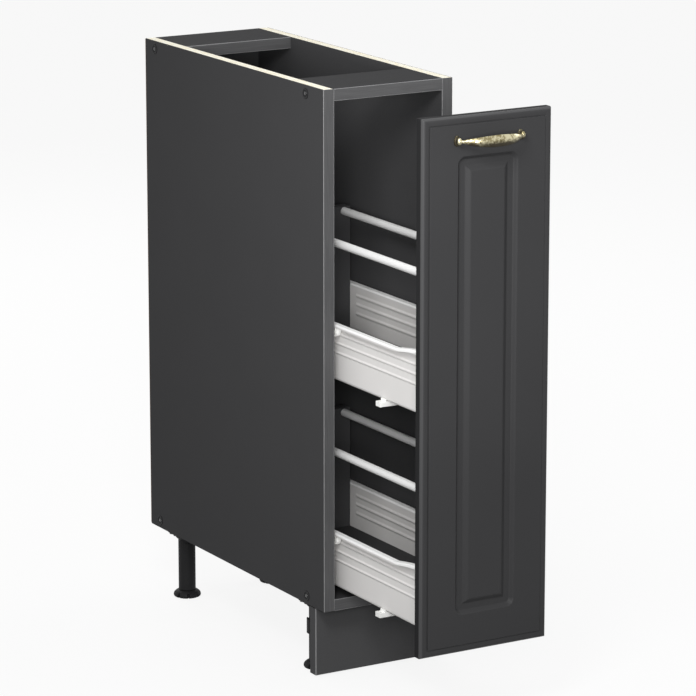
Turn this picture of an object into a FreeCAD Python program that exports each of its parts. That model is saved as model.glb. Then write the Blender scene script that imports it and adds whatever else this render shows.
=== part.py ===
"""Narrow base cabinet with a pull-out front that carries two steel-sided trays.

Frame: +Z up from the floor, +X to the right, the front faces -Y. The origin lies on the floor in the
middle of the cabinet as it stands with the pull-out partly open. Inside this file every piece is
drawn with y = 0 at the carcass front, and is moved to that origin when it is written out.
"""

import FreeCAD, Part
import math
import os

V = FreeCAD.Vector

# Carcass of laminated chipboard
CABINET_WIDTH = 200.0
CARCASS_HEIGHT = 720.0
CARCASS_DEPTH = 510.0
BOARD = 16.0
BACK_SHEET = 3.0
BACK_SHEET_MARGIN = 1.0
EDGE_BAND = 1.0
STRETCHER_DEPTH = 96.0

# Carcass connecting screws and the caps over their heads
SCREW_FROM_FRONT = 48.0
SCREW_FROM_REAR = 31.0
SCREW_OFF_CENTRE = 3.5
CONFIRMAT_HEAD_D = 10.0
CONFIRMAT_HEAD_DEPTH = 3.0
CONFIRMAT_SHANK_D = 7.0
CONFIRMAT_THREAD_D = 5.5
CONFIRMAT_THREAD_LENGTH = 34.0
CAP_D = 15.0
CAP_TOP_D = 8.0
CAP_HEIGHT = 1.4
CAP_RIM = 0.5

# Nails that hold the back sheet
NAIL_D = 1.6
NAIL_LENGTH = 22.0
NAIL_HEAD_D = 4.0
NAIL_HEAD = 0.8
NAIL_ROWS = 6
NAIL_END_DISTANCE = 40.0

# Adjustable legs
LEG_HEIGHT = 100.0
LEG_FROM_SIDE = 28.0
LEG_FROM_REAR = 60.0
LEG_BEHIND_PLINTH = 3.0
LEG_PLATE_WIDTH = 50.0
LEG_PLATE_DEPTH = 40.0
LEG_PLATE_CORNER = 6.0
LEG_PLATE_THICKNESS = 4.0
LEG_COLLAR_WALL = 5.0
LEG_COLLAR_DEPTH = 12.0
LEG_COLLAR_FLOOR = 3.0
LEG_TUBE_D = 25.0
LEG_TUBE_WALL = 2.5
LEG_FIT = 0.1
LEG_SCREW_X = 21.0
LEG_SCREW_Y = 6.0
LEG_SCREW_BITE = 6.0
LEG_NUB_WIDTH = 5.0
LEG_NUB_HEIGHT = 9.0
LEG_NUB_RISE = 0.8
LEG_NUB_DROP = 6.0
FOOT_D = 40.0
FOOT_RIM = 5.0
FOOT_HUB = 5.0
FOOT_HUB_LEDGE = 1.0
FOOT_CHAMFER = 1.0
FOOT_STEM_LENGTH = 55.0
FOOT_NOTCH_WIDTH = 2.4
FOOT_NOTCH_DEPTH = 4.0
FOOT_NOTCHES = 8
FOOT_GAP = 0.5

# Plinth board and the clips that snap it on to the front legs
PLINTH_END_GAP = 2.0
PLINTH_SET_BACK = 27.0
PLINTH_FLOOR_GAP = 2.0
PLINTH_TOP_GAP = 2.0
CLIP_HEIGHT = 20.0
CLIP_BELOW_NUB = 3.0
CLIP_WALL = 3.0
CLIP_BASE_WIDTH = 42.0
CLIP_BASE = 3.0
CLIP_NECK = 12.0
CLIP_MOUTH = 20.0
CLIP_SCREW_OFFSET = 15.0

# Chipboard screws, used wherever a fitting is screwed to a board
WOOD_SCREW_D = 3.5
WOOD_SCREW_LENGTH = 12.0
WOOD_SCREW_TIP_D = 0.9
WOOD_SCREW_TIP = 3.5
WOOD_SCREW_HEAD_D = 7.0
WOOD_SCREW_HEAD = 1.0

# Pull-out: how far it stands open, and the door
OPEN_AT_REST = 232.0
DOOR_REVEAL = 2.0
DOOR_THICKNESS = 16.0
DOOR_EDGE_STEP = 1.5
DOOR_EDGE_LEDGE = 11.0
DOOR_EDGE_ROUND = 5.0
DOOR_FRAME = 52.0
DOOR_GROOVE_CORNER = 12.0
DOOR_FLOOR_CORNER = 5.0
DOOR_GROOVE_DEPTH = 5.0
DOOR_GROOVE_SLOPE = 5.5
DOOR_GROOVE_FLOOR = 6.0
DOOR_FIELD_SLOPE = 9.5
DOOR_FIELD_DROP = 0.8

# Bow handle
HANDLE_FROM_TOP = 31.5
HANDLE_SPACING = 96.0
HANDLE_ROSETTE_D = 14.0
HANDLE_ROSETTE_RIM = 1.6
HANDLE_ROSETTE_SLOPE = 1.4
HANDLE_NECK_D = 8.4
HANDLE_NECK = 0.6
HANDLE_BEAD_D = 10.0
HANDLE_BEAD = 6.4
HANDLE_BEAD_TIP_D = 5.0
HANDLE_STANDOFF = 7.0
HANDLE_BOW = 18.0
HANDLE_GRIP_HEIGHT = 14.0
HANDLE_GRIP_END = 5.4
HANDLE_GRIP_THICKNESS = 8.0
HANDLE_GRIP_END_THICKNESS = 4.6
HANDLE_STATIONS = 11
HANDLE_SCREW_D = 4.0
HANDLE_SCREW_HEAD_D = 8.0
HANDLE_SCREW_HEAD = 2.5
HANDLE_SCREW_CHAMFER = 1.0
HANDLE_SCREW_IN_POST = 7.0

# Trays with folded steel sides
STEEL = 1.2
TRAY_REAR_ROOM = 60.0
TRAY_LOWEST = 27.0
TRAY_PITCH = 291.0
TRAY_SIDE_GAP = 15.0
TRAY_SIDE_HEIGHT = 81.0
TRAY_FLANGE = 9.0
TRAY_LIP = 4.5
TRAY_FOOT_FLANGE = 17.0
TRAY_NOSE_RISE = 7.5
TRAY_NOSE_FLAT = 4.0
TRAY_NOSE_LENGTH = 64.0
TRAY_BACK_HEIGHT = 191.5
TRAY_DOOR_GAP = 1.0
BEAD_RADIUS = 6.0
BEAD_RISE = 1.5
BEAD_DROPS = (15.0, 28.0, 41.0)
BEAD_FROM_BRACKET = 4.0
BEAD_FROM_BACK = 15.0
TRAY_SCREW_FROM_DOOR = 60.0
TRAY_SCREW_FROM_BACK = 50.0
BACK_SCREWS_BELOW_ROLLER = (18.0, 35.0)
BRACKET_STEEL = 1.5
BRACKET_HEIGHT = 50.0
BRACKET_LIFT = 3.0
BRACKET_SIDE_LEG = 22.0
BRACKET_DOOR_LEG = 20.0
BRACKET_SCREW_INSET = 10.0
BAR_FROM_DOOR = 118.0
BAR_WIDTH = 12.0
BAR_DEPTH = 7.0
BAR_WALL = 2.0
BAR_OVERHANG = 10.0
BAR_HOOK = 3.0
BAR_FIT = 0.2

# Round gallery rails above the trays
RAIL_D = 11.0
RAIL_WALL = 1.0
RAIL_BELOW_BACK_TOP = 6.5
RAIL_FROM_SIDE = 10.0
SPIGOT_FIT = 0.05
SPIGOT_LENGTH = 15.0

# Runners on the carcass, with their rollers
RUNNER_FRONT_GAP = 2.0
RUNNER_BEYOND_TRAY = 6.0
RUNNER_TRAY_GAP = 4.3
RUNNER_CUTAWAY_GAP = 5.0
RUNNER_SCREW_FROM_FRONT = 37.0
RUNNER_SCREW_SPACING = 224.0
RUNNER_SCREW_FROM_END = 47.0
FRONT_ROLLER_D = 16.0
FRONT_ROLLER_BACK = 11.0
REAR_ROLLER_D = 15.4
ROLLER_WIDTH = 6.0
ROLLER_GAP = 0.3
ROLLER_SIDE_GAP = 0.4
ROLLER_PIN_D = 5.0
ROLLER_PIN_FIT = 0.05
ROLLER_PIN_HEAD_D = 8.0
ROLLER_PIN_HEAD = 0.8
ROLLER_PIN_SHOULDER_D = 7.0
ROLLER_PLAY = 0.2
ROLLER_EDGE = 0.6
LIP_CLEARANCE = 2.5

# Places worked out from the sizes above
HALF = CABINET_WIDTH / 2
INSIDE = HALF - BOARD
TOP = LEG_HEIGHT + CARCASS_HEIGHT
REAR = CARCASS_DEPTH - BACK_SHEET
SCREW_DROP = BOARD / 2 + SCREW_OFF_CENTRE
LEG_X = HALF - LEG_FROM_SIDE
LEG_COLLAR_R = LEG_TUBE_D / 2 + LEG_FIT + LEG_COLLAR_WALL
LEG_NUB_TOP = LEG_HEIGHT - LEG_COLLAR_DEPTH - LEG_NUB_DROP
CLIP_TOP = LEG_NUB_TOP - LEG_NUB_HEIGHT - CLIP_BELOW_NUB
PLINTH_BACK = PLINTH_SET_BACK + BOARD
FRONT_LEG_Y = PLINTH_BACK + LEG_BEHIND_PLINTH + max(FOOT_D, LEG_PLATE_DEPTH) / 2
LEG_ROWS = {"front": FRONT_LEG_Y, "rear": CARCASS_DEPTH - LEG_FROM_REAR}
DOOR_BACK = -OPEN_AT_REST
DOOR_FRONT = DOOR_BACK - DOOR_THICKNESS
DOOR_HALF = HALF - DOOR_REVEAL
DOOR_Z = (LEG_HEIGHT + DOOR_REVEAL, TOP - DOOR_REVEAL)
HANDLE_Z = DOOR_Z[1] - HANDLE_FROM_TOP
HANDLE_REACH = HANDLE_STANDOFF + HANDLE_BOW + HANDLE_GRIP_THICKNESS / 2
TRAY_IN = INSIDE - TRAY_SIDE_GAP
TRAY_OUT = TRAY_IN + STEEL
FLANGE_OUT = TRAY_OUT + TRAY_FLANGE
TRAY_LENGTH = CARCASS_DEPTH - TRAY_REAR_ROOM
TRAY_BACK = DOOR_BACK + TRAY_LENGTH
TRAY_END = TRAY_BACK + BOARD
TRAYS = {"lower": LEG_HEIGHT + TRAY_LOWEST, "upper": LEG_HEIGHT + TRAY_LOWEST + TRAY_PITCH}
RAIL_X = TRAY_IN - RAIL_FROM_SIDE
RAIL_HEIGHT = TRAY_BACK_HEIGHT - RAIL_BELOW_BACK_TOP
SIDES = {"left": -1, "right": 1}

# The front roller carries the tray flange from below. The runner's channel lies under the flange's lip.
FLANGE_UNDER = TRAY_SIDE_HEIGHT - STEEL
FRONT_ROLLER_Z = FLANGE_UNDER - ROLLER_GAP - FRONT_ROLLER_D / 2
CHANNEL_TOP = TRAY_SIDE_HEIGHT - TRAY_LIP - LIP_CLEARANCE - STEEL
CHANNEL_HEIGHT = REAR_ROLLER_D + 2 * ROLLER_GAP
CHANNEL_MID = CHANNEL_TOP - CHANNEL_HEIGHT / 2
RUNNER_IN = INSIDE - STEEL
RUNNER_END = TRAY_LENGTH + BOARD + RUNNER_BEYOND_TRAY
REAR_ROLLER_Y = TRAY_BACK + BOARD / 2

# Across the cabinet, the front rollers run inside the tray flange and the rear ones inside the runner
FRONT_ROLLER_OUT = FLANGE_OUT - STEEL - ROLLER_SIDE_GAP
FRONT_ROLLER_IN = FRONT_ROLLER_OUT - ROLLER_WIDTH
REAR_ROLLER_OUT = RUNNER_IN - WOOD_SCREW_HEAD - ROLLER_SIDE_GAP
REAR_ROLLER_IN = REAR_ROLLER_OUT - ROLLER_WIDTH

# The whole cabinet is centred on the origin, from the handle to the back sheet
CARCASS_FRONT_Y = (OPEN_AT_REST + DOOR_THICKNESS + HANDLE_REACH - CARCASS_DEPTH) / 2


def box(x, y, z):
    """A box between two values on each axis, in either order."""
    low = V(min(x), min(y), min(z))
    high = V(max(x), max(y), max(z))
    size = high - low
    return Part.makeBox(size.x, size.y, size.z, low)


def turned(profile, base, direction):
    """A solid of revolution from (distance along the axis, radius) pairs, set at base along direction."""
    rim = [V(radius, 0, along) for along, radius in profile]
    points = [V(0, 0, profile[0][0])] + rim + [V(0, 0, profile[-1][0])]
    solid = Part.Face(Part.makePolygon(points + points[:1])).revolve(V(0, 0, 0), V(0, 0, 1), 360)
    solid.Placement = FreeCAD.Placement(base, FreeCAD.Rotation(V(0, 0, 1), direction))
    return solid


def rounded_rectangle(half_x, z, y, corner):
    """A closed wire in a plane of constant y, with arcs at its four corners."""
    centres = (
        (half_x - corner, z[1] - corner, 0),
        (-half_x + corner, z[1] - corner, 90),
        (-half_x + corner, z[0] + corner, 180),
        (half_x - corner, z[0] + corner, 270),
    )
    arcs = []
    for x, height, start in centres:
        turn = [math.radians(start + step) for step in (0, 45, 90)]
        points = [V(x + corner * math.cos(a), y, height + corner * math.sin(a)) for a in turn]
        arcs.append(points)
    edges = []
    for arc, following in zip(arcs, arcs[1:] + arcs[:1]):
        edges.append(Part.Arc(*arc).toShape())
        edges.append(Part.LineSegment(arc[2], following[0]).toShape())
    return Part.Wire(edges)


def rectangle(half_x, z, y):
    """A closed sharp-cornered wire in a plane of constant y."""
    corners = [V(half_x, y, z[1]), V(-half_x, y, z[1]), V(-half_x, y, z[0]), V(half_x, y, z[0])]
    return Part.makePolygon(corners + corners[:1])


def mirrored(shape, side):
    """The right-hand shape for side 1, and its mirror image for side -1."""
    return shape if side > 0 else shape.mirror(V(0, 0, 0), V(1, 0, 0))


def drilled(body, fasteners):
    """body with the holes that its fasteners fill."""
    near = [f for f in fasteners if f.BoundBox.intersect(body.BoundBox)]
    return body.cut(near) if near else body


def wood_screw(seat, direction, length=WOOD_SCREW_LENGTH):
    """A pan-headed screw whose head rests at seat and whose shank runs along direction."""
    profile = [
        (-WOOD_SCREW_HEAD, WOOD_SCREW_HEAD_D / 2 - WOOD_SCREW_HEAD / 2),
        (-WOOD_SCREW_HEAD / 2, WOOD_SCREW_HEAD_D / 2),
        (0, WOOD_SCREW_HEAD_D / 2),
        (0, WOOD_SCREW_D / 2),
        (length - WOOD_SCREW_TIP, WOOD_SCREW_D / 2),
        (length, WOOD_SCREW_TIP_D / 2),
    ]
    return turned(profile, seat, direction)


def confirmat_places():
    """Side, depth and height of each carcass connecting screw."""
    for side in SIDES.values():
        for y in (SCREW_FROM_FRONT, CARCASS_DEPTH - SCREW_FROM_REAR):
            for z in (LEG_HEIGHT + SCREW_DROP, TOP - SCREW_DROP):
                yield side, y, z


def confirmat_screws():
    """Countersunk connecting screws, through the side boards into the ends of the cross boards."""
    profile = [
        (0, CONFIRMAT_HEAD_D / 2),
        (CONFIRMAT_HEAD_DEPTH, CONFIRMAT_SHANK_D / 2),
        (BOARD, CONFIRMAT_SHANK_D / 2),
        (BOARD, CONFIRMAT_THREAD_D / 2),
        (BOARD + CONFIRMAT_THREAD_LENGTH, CONFIRMAT_THREAD_D / 2),
    ]
    return [turned(profile, V(s * HALF, y, z), V(-s, 0, 0)) for s, y, z in confirmat_places()]


def screw_caps():
    """Shallow plastic caps stuck over the connecting screws."""
    profile = [
        (0, CAP_D / 2),
        (CAP_RIM, CAP_D / 2),
        (CAP_HEIGHT, CAP_TOP_D / 2),
    ]
    return [turned(profile, V(s * HALF, y, z), V(s, 0, 0)) for s, y, z in confirmat_places()]


def back_nails():
    """Small nails through the back sheet into the rear edges of the side boards."""
    profile = [
        (0, NAIL_HEAD_D / 2),
        (NAIL_HEAD, NAIL_HEAD_D / 2),
        (NAIL_HEAD, NAIL_D / 2),
        (NAIL_LENGTH, NAIL_D / 2),
    ]
    step = (CARCASS_HEIGHT - 2 * NAIL_END_DISTANCE) / (NAIL_ROWS - 1)
    heights = [LEG_HEIGHT + NAIL_END_DISTANCE + row * step for row in range(NAIL_ROWS)]
    x = HALF - BOARD / 2
    heads = [V(s * x, CARCASS_DEPTH, z) for s in SIDES.values() for z in heights]
    return [turned(profile, head, V(0, -1, 0)) for head in heads]


def side_board(side, fasteners):
    """An upright carcass side. Its top edge is left raw."""
    board = box((side * INSIDE, side * HALF), (EDGE_BAND, REAR), (LEG_HEIGHT, TOP))
    return drilled(board, fasteners)


def cross_board(y, z, fasteners):
    """A board between the two sides."""
    return drilled(box((-INSIDE, INSIDE), y, z), fasteners)


def side_edge_bands():
    """Plastic bands on the front edges of the side boards."""
    return [box((s * INSIDE, s * HALF), (0, EDGE_BAND), (LEG_HEIGHT, TOP)) for s in SIDES.values()]


def cross_edge_bands():
    """Plastic bands on the front edges of the bottom and the two stretchers."""
    across = (-INSIDE, INSIDE)
    rear_front = REAR - STRETCHER_DEPTH
    return [
        box(across, (0, EDGE_BAND), (LEG_HEIGHT, LEG_HEIGHT + BOARD)),
        box(across, (0, EDGE_BAND), (TOP - BOARD, TOP)),
        box(across, (rear_front, rear_front + EDGE_BAND), (TOP - BOARD, TOP)),
    ]


def back_sheet(fasteners):
    """Thin hardboard sheet nailed over the back."""
    half = HALF - BACK_SHEET_MARGIN
    z = (LEG_HEIGHT + BACK_SHEET_MARGIN, TOP - BACK_SHEET_MARGIN)
    return drilled(box((-half, half), (REAR, CARCASS_DEPTH), z), fasteners)


def leg_places():
    """Name, x and y of each leg."""
    for row, y in LEG_ROWS.items():
        for name, side in SIDES.items():
            yield f"{row}_{name}", side * LEG_X, y


def leg_screws():
    """Four screws through each leg plate, up into the boards."""
    seats = []
    for _, x, y in leg_places():
        for dx in (-LEG_SCREW_X, LEG_SCREW_X):
            for dy in (-LEG_SCREW_Y, LEG_SCREW_Y):
                seats.append(V(x + dx, y + dy, LEG_HEIGHT - LEG_PLATE_THICKNESS))
    return [wood_screw(seat, V(0, 0, 1), LEG_PLATE_THICKNESS + LEG_SCREW_BITE) for seat in seats]


def leg_socket(x, y, fasteners):
    """Plastic plate with a collar that takes the leg tube."""
    half_x, half_y = LEG_PLATE_WIDTH / 2, LEG_PLATE_DEPTH / 2
    z = (LEG_HEIGHT - LEG_PLATE_THICKNESS, LEG_HEIGHT)
    plate = box((x - half_x, x + half_x), (y - half_y, y + half_y), z)
    upright = [e for e in plate.Edges if abs(e.Vertexes[0].Z - e.Vertexes[1].Z) > LEG_PLATE_THICKNESS / 2]
    plate = plate.makeFillet(LEG_PLATE_CORNER, upright)
    mouth = V(x, y, LEG_HEIGHT - LEG_COLLAR_DEPTH)
    collar = Part.makeCylinder(LEG_COLLAR_R, LEG_COLLAR_DEPTH, mouth)
    socket = Part.makeCylinder(LEG_TUBE_D / 2 + LEG_FIT, LEG_COLLAR_DEPTH - LEG_COLLAR_FLOOR, mouth)
    return drilled(plate.fuse(collar).removeSplitter().cut(socket), fasteners)


def leg_tube(x, y):
    """Plastic tube pushed up into the collar, with a small catch on its outer side below the collar."""
    low = FOOT_RIM + FOOT_HUB + FOOT_GAP
    high = LEG_HEIGHT - LEG_COLLAR_FLOOR
    tube = Part.makeCylinder(LEG_TUBE_D / 2, high - low, V(x, y, low))
    nub = box(
        (x, x + math.copysign(LEG_TUBE_D / 2 + LEG_NUB_RISE, x)),
        (y - LEG_NUB_WIDTH / 2, y + LEG_NUB_WIDTH / 2),
        (LEG_NUB_TOP - LEG_NUB_HEIGHT, LEG_NUB_TOP),
    )
    bore = Part.makeCylinder(LEG_TUBE_D / 2 - LEG_TUBE_WALL, high - low, V(x, y, low))
    return tube.fuse(nub).cut(bore)


def leg_foot(x, y):
    """Screw-in foot: a notched round pad with a stem that turns inside the tube."""
    stem = LEG_TUBE_D / 2 - LEG_TUBE_WALL - LEG_FIT
    profile = [
        (0, FOOT_D / 2 - FOOT_CHAMFER),
        (FOOT_CHAMFER, FOOT_D / 2),
        (FOOT_RIM, FOOT_D / 2),
        (FOOT_RIM + FOOT_HUB, LEG_TUBE_D / 2 + FOOT_HUB_LEDGE),
        (FOOT_RIM + FOOT_HUB, stem),
        (FOOT_RIM + FOOT_HUB + FOOT_STEM_LENGTH, stem),
    ]
    foot = turned(profile, V(x, y, 0), V(0, 0, 1))
    notch = box(
        (FOOT_D / 2 - FOOT_NOTCH_DEPTH, FOOT_D),
        (-FOOT_NOTCH_WIDTH / 2, FOOT_NOTCH_WIDTH / 2),
        (0, FOOT_RIM + FOOT_HUB),
    )
    notches = []
    for step in range(FOOT_NOTCHES):
        tool = notch.copy()
        tool.rotate(V(0, 0, 0), V(0, 0, 1), (step + 0.5) * 360 / FOOT_NOTCHES)
        tool.translate(V(x, y, 0))
        notches.append(tool)
    return foot.cut(notches)


def plinth_screws():
    """Two screws through each clip base into the back of the plinth."""
    seat_y = PLINTH_BACK + CLIP_BASE
    xs = [s * LEG_X + dx for s in SIDES.values() for dx in (-CLIP_SCREW_OFFSET, CLIP_SCREW_OFFSET)]
    return [wood_screw(V(x, seat_y, CLIP_TOP - CLIP_HEIGHT / 2), V(0, -1, 0)) for x in xs]


def plinth(fasteners):
    """Board that closes the gap under the cabinet."""
    half = HALF - PLINTH_END_GAP
    y = (PLINTH_SET_BACK, PLINTH_BACK)
    return drilled(box((-half, half), y, (PLINTH_FLOOR_GAP, LEG_HEIGHT - PLINTH_TOP_GAP)), fasteners)


def plinth_clip(side, fasteners):
    """Base plate screwed to the plinth, with an open ring that snaps on to a front leg."""
    x = side * LEG_X
    z = (CLIP_TOP - CLIP_HEIGHT, CLIP_TOP)
    axis = V(x, FRONT_LEG_Y, z[0])
    half = CLIP_BASE_WIDTH / 2
    base = box((x - half, x + half), (PLINTH_BACK, PLINTH_BACK + CLIP_BASE), z)
    inner = LEG_TUBE_D / 2 + LEG_FIT
    ring = Part.makeCylinder(inner + CLIP_WALL, CLIP_HEIGHT, axis)
    neck = box((x - CLIP_NECK / 2, x + CLIP_NECK / 2), (PLINTH_BACK, FRONT_LEG_Y), z)
    bore = Part.makeCylinder(inner, CLIP_HEIGHT, axis)
    mouth = box((x - CLIP_MOUTH / 2, x + CLIP_MOUTH / 2), (FRONT_LEG_Y, FRONT_LEG_Y + LEG_TUBE_D), z)
    return drilled(base.fuse([ring, neck]).cut([bore, mouth]), fasteners)


def runner_screws(side, z):
    """Screws through a runner's web into the carcass side."""
    places = (
        RUNNER_SCREW_FROM_FRONT,
        RUNNER_SCREW_FROM_FRONT + RUNNER_SCREW_SPACING,
        RUNNER_END - RUNNER_SCREW_FROM_END,
    )
    seats = [V(side * RUNNER_IN, y, z + CHANNEL_MID) for y in places]
    return [wood_screw(seat, V(side, 0, 0)) for seat in seats]


def front_roller_pin(side, z):
    """Riveted pin at the front of a runner: its head, the roller's journal, a shoulder and the rivet."""
    inner = FRONT_ROLLER_IN - ROLLER_PLAY - ROLLER_PIN_HEAD
    journal, shoulder = ROLLER_PIN_D / 2, ROLLER_PIN_SHOULDER_D / 2
    shoulder_start = FRONT_ROLLER_OUT + ROLLER_PLAY - inner
    profile = [
        (0, ROLLER_PIN_HEAD_D / 2),
        (ROLLER_PIN_HEAD, ROLLER_PIN_HEAD_D / 2),
        (ROLLER_PIN_HEAD, journal),
        (shoulder_start, journal),
        (shoulder_start, shoulder),
        (RUNNER_IN - inner, shoulder),
        (RUNNER_IN - inner, journal),
        (INSIDE - inner, journal),
    ]
    return turned(profile, V(side * inner, FRONT_ROLLER_BACK, z + FRONT_ROLLER_Z), V(side, 0, 0))


def rear_roller_pin(side, z):
    """Pin riveted into a tray side: the rivet, a shoulder and the journal of the tray's own roller."""
    journal, shoulder = ROLLER_PIN_D / 2, ROLLER_PIN_SHOULDER_D / 2
    shoulder_end = REAR_ROLLER_IN - ROLLER_PLAY - TRAY_IN
    profile = [
        (0, journal),
        (STEEL, journal),
        (STEEL, shoulder),
        (shoulder_end, shoulder),
        (shoulder_end, journal),
        (REAR_ROLLER_OUT - TRAY_IN, journal),
    ]
    return turned(profile, V(side * TRAY_IN, REAR_ROLLER_Y, z + CHANNEL_MID), V(side, 0, 0))


def roller(side, inner, y, z, diameter):
    """Nylon roller with a running bore, from its inner face outwards."""
    radius = diameter / 2
    profile = [
        (0, radius - ROLLER_EDGE),
        (ROLLER_EDGE, radius),
        (ROLLER_WIDTH - ROLLER_EDGE, radius),
        (ROLLER_WIDTH, radius - ROLLER_EDGE),
    ]
    base = V(side * inner, y, z)
    bore = Part.makeCylinder(ROLLER_PIN_D / 2 + ROLLER_PIN_FIT, ROLLER_WIDTH, base, V(side, 0, 0))
    return turned(profile, base, V(side, 0, 0)).cut(bore)


def runner(side, z, fasteners):
    """Folded steel channel on the carcass side, open towards the tray. Its flanges end behind the roller."""
    y = (RUNNER_FRONT_GAP, RUNNER_END)
    low = z + CHANNEL_TOP - CHANNEL_HEIGHT
    high = z + CHANNEL_TOP
    flange_x = (TRAY_OUT + RUNNER_TRAY_GAP, INSIDE)
    cut_y = FRONT_ROLLER_BACK + FRONT_ROLLER_D / 2 + RUNNER_CUTAWAY_GAP
    web = box((RUNNER_IN, INSIDE), y, (low - STEEL, high + STEEL))
    tab = box((RUNNER_IN, INSIDE), (y[0], cut_y), (low, z + FRONT_ROLLER_Z + ROLLER_PIN_HEAD_D / 2))
    flange_y = (cut_y, y[1])
    lower = box(flange_x, flange_y, (low - STEEL, low))
    upper = box(flange_x, flange_y, (high, high + STEEL))
    channel = web.fuse([tab, lower, upper]).removeSplitter()
    return drilled(mirrored(channel, side), fasteners)


def tray_top(z):
    """The tray side's outward top flange, which rises in a shallow S towards the door."""
    under = z + FLANGE_UNDER
    level = z + TRAY_SIDE_HEIGHT
    crest = level + TRAY_NOSE_RISE
    start = DOOR_BACK + TRAY_NOSE_FLAT
    end = DOOR_BACK + TRAY_NOSE_LENGTH
    run, rise = (end - start) / 2, TRAY_NOSE_RISE / 2
    radius = (run * run + rise * rise) / (2 * rise)
    turn = math.asin(run / radius) / 2
    along, down = radius * math.sin(turn), radius * (1 - math.cos(turn))

    def at(y, height):
        return V(TRAY_IN, y, height)

    middle = at(start + run, level + rise)
    edges = [
        Part.Arc(at(start, crest), at(start + along, crest - down), middle),
        Part.Arc(middle, at(end - along, level + down), at(end, level)),
    ]
    corners = [at(end, level), at(TRAY_END, level), at(TRAY_END, under), at(DOOR_BACK, under)]
    corners += [at(DOOR_BACK, crest), at(start, crest)]
    edges += [Part.LineSegment(a, b) for a, b in zip(corners, corners[1:])]
    outline = Part.Wire([edge.toShape() for edge in edges])
    return Part.Face(outline).extrude(V(FLANGE_OUT - TRAY_IN, 0, 0))


def tray_side(side, z, fasteners):
    """Folded steel tray side with three pressed beads that stand into the tray."""
    y = (DOOR_BACK, TRAY_END)
    sheet = box((TRAY_IN, TRAY_OUT), y, (z, z + FLANGE_UNDER))
    lip = box((FLANGE_OUT - STEEL, FLANGE_OUT), y, (z + TRAY_SIDE_HEIGHT - TRAY_LIP, z + FLANGE_UNDER))
    foot = box((TRAY_IN - TRAY_FOOT_FLANGE, TRAY_IN), y, (z, z + STEEL))
    axis_x = TRAY_IN - BEAD_RISE + BEAD_RADIUS
    start = DOOR_BACK + BRACKET_SIDE_LEG + BEAD_FROM_BRACKET
    end = TRAY_BACK - BEAD_FROM_BACK
    beads, hollows = [], []
    for drop in BEAD_DROPS:
        height = z + TRAY_SIDE_HEIGHT - drop
        bead = Part.makeCylinder(BEAD_RADIUS, end - start, V(axis_x, start, height), V(0, 1, 0))
        beads.append(bead.common(box((TRAY_IN - BEAD_RISE, TRAY_OUT), (start, end), (z, z + FLANGE_UNDER))))
        length = end - start - 2 * STEEL
        base = V(axis_x, start + STEEL, height)
        hollows.append(Part.makeCylinder(BEAD_RADIUS - STEEL, length, base, V(0, 1, 0)))
    folded = sheet.fuse([tray_top(z), lip, foot] + beads).cut(hollows)
    return drilled(mirrored(folded, side), fasteners)


def tray_bottom(z, fasteners):
    """Board that rests on the foot flanges of the tray sides."""
    y = (DOOR_BACK + TRAY_DOOR_GAP, TRAY_BACK)
    return drilled(box((-TRAY_IN, TRAY_IN), y, (z + STEEL, z + STEEL + BOARD)), fasteners)


def tray_back(z, fasteners):
    """Tall board across the rear of a tray, which also holds the rails."""
    board = box((-TRAY_IN, TRAY_IN), (TRAY_BACK, TRAY_END), (z + STEEL, z + TRAY_BACK_HEIGHT))
    return drilled(board, fasteners)


def tray_screws(z):
    """Screws up through the foot flanges into the tray bottom, and through the sides into the tray back."""
    first, last = DOOR_BACK + TRAY_SCREW_FROM_DOOR, TRAY_BACK - TRAY_SCREW_FROM_BACK
    screws = []
    for side in SIDES.values():
        x = side * (TRAY_IN - TRAY_FOOT_FLANGE / 2)
        for y in (first, (first + last) / 2, last):
            screws.append(wood_screw(V(x, y, z), V(0, 0, 1)))
        for drop in BACK_SCREWS_BELOW_ROLLER:
            seat = V(side * TRAY_OUT, REAR_ROLLER_Y, z + CHANNEL_MID - drop)
            screws.append(wood_screw(seat, V(-side, 0, 0)))
    return screws


def bracket_z(z):
    """Height range of the front brackets, just above the tray bottom."""
    low = z + STEEL + BOARD + BRACKET_LIFT
    return low, low + BRACKET_HEIGHT


def bracket_screws(z):
    """Two screws through each front bracket into the door."""
    low, high = bracket_z(z)
    x = TRAY_IN - BRACKET_STEEL - BRACKET_DOOR_LEG / 2
    seat_y = DOOR_BACK + BRACKET_STEEL
    heights = (low + BRACKET_SCREW_INSET, high - BRACKET_SCREW_INSET)
    return [wood_screw(V(s * x, seat_y, h), V(0, -1, 0)) for s in SIDES.values() for h in heights]


def front_bracket(side, z, fasteners):
    """Steel angle between a tray side and the back of the door."""
    heights = bracket_z(z)
    bend = TRAY_IN - BRACKET_STEEL
    along = box((bend, TRAY_IN), (DOOR_BACK, DOOR_BACK + BRACKET_SIDE_LEG), heights)
    across = box((bend - BRACKET_DOOR_LEG, TRAY_IN), (DOOR_BACK, DOOR_BACK + BRACKET_STEEL), heights)
    return drilled(mirrored(along.fuse(across).removeSplitter(), side), fasteners)


def bottom_bar(z):
    """Plastic channel under a tray that stiffens its bottom and hooks round both tray sides."""
    reach = TRAY_OUT + BAR_OVERHANG
    y = (DOOR_BACK + BAR_FROM_DOOR, DOOR_BACK + BAR_FROM_DOOR + BAR_WIDTH)
    solid = box((-reach, reach), y, (z - BAR_DEPTH, z))
    hollow = box(
        (-reach + BAR_WALL, reach - BAR_WALL),
        (y[0] + BAR_WALL, y[1] - BAR_WALL),
        (z - BAR_DEPTH, z - BAR_WALL),
    )
    hook_x = (TRAY_OUT + BAR_FIT, TRAY_OUT + BAR_FIT + BAR_WALL)
    hooks = [box((s * hook_x[0], s * hook_x[1]), y, (z, z + BAR_HOOK)) for s in SIDES.values()]
    return solid.cut(hollow).fuse(hooks)


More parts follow.
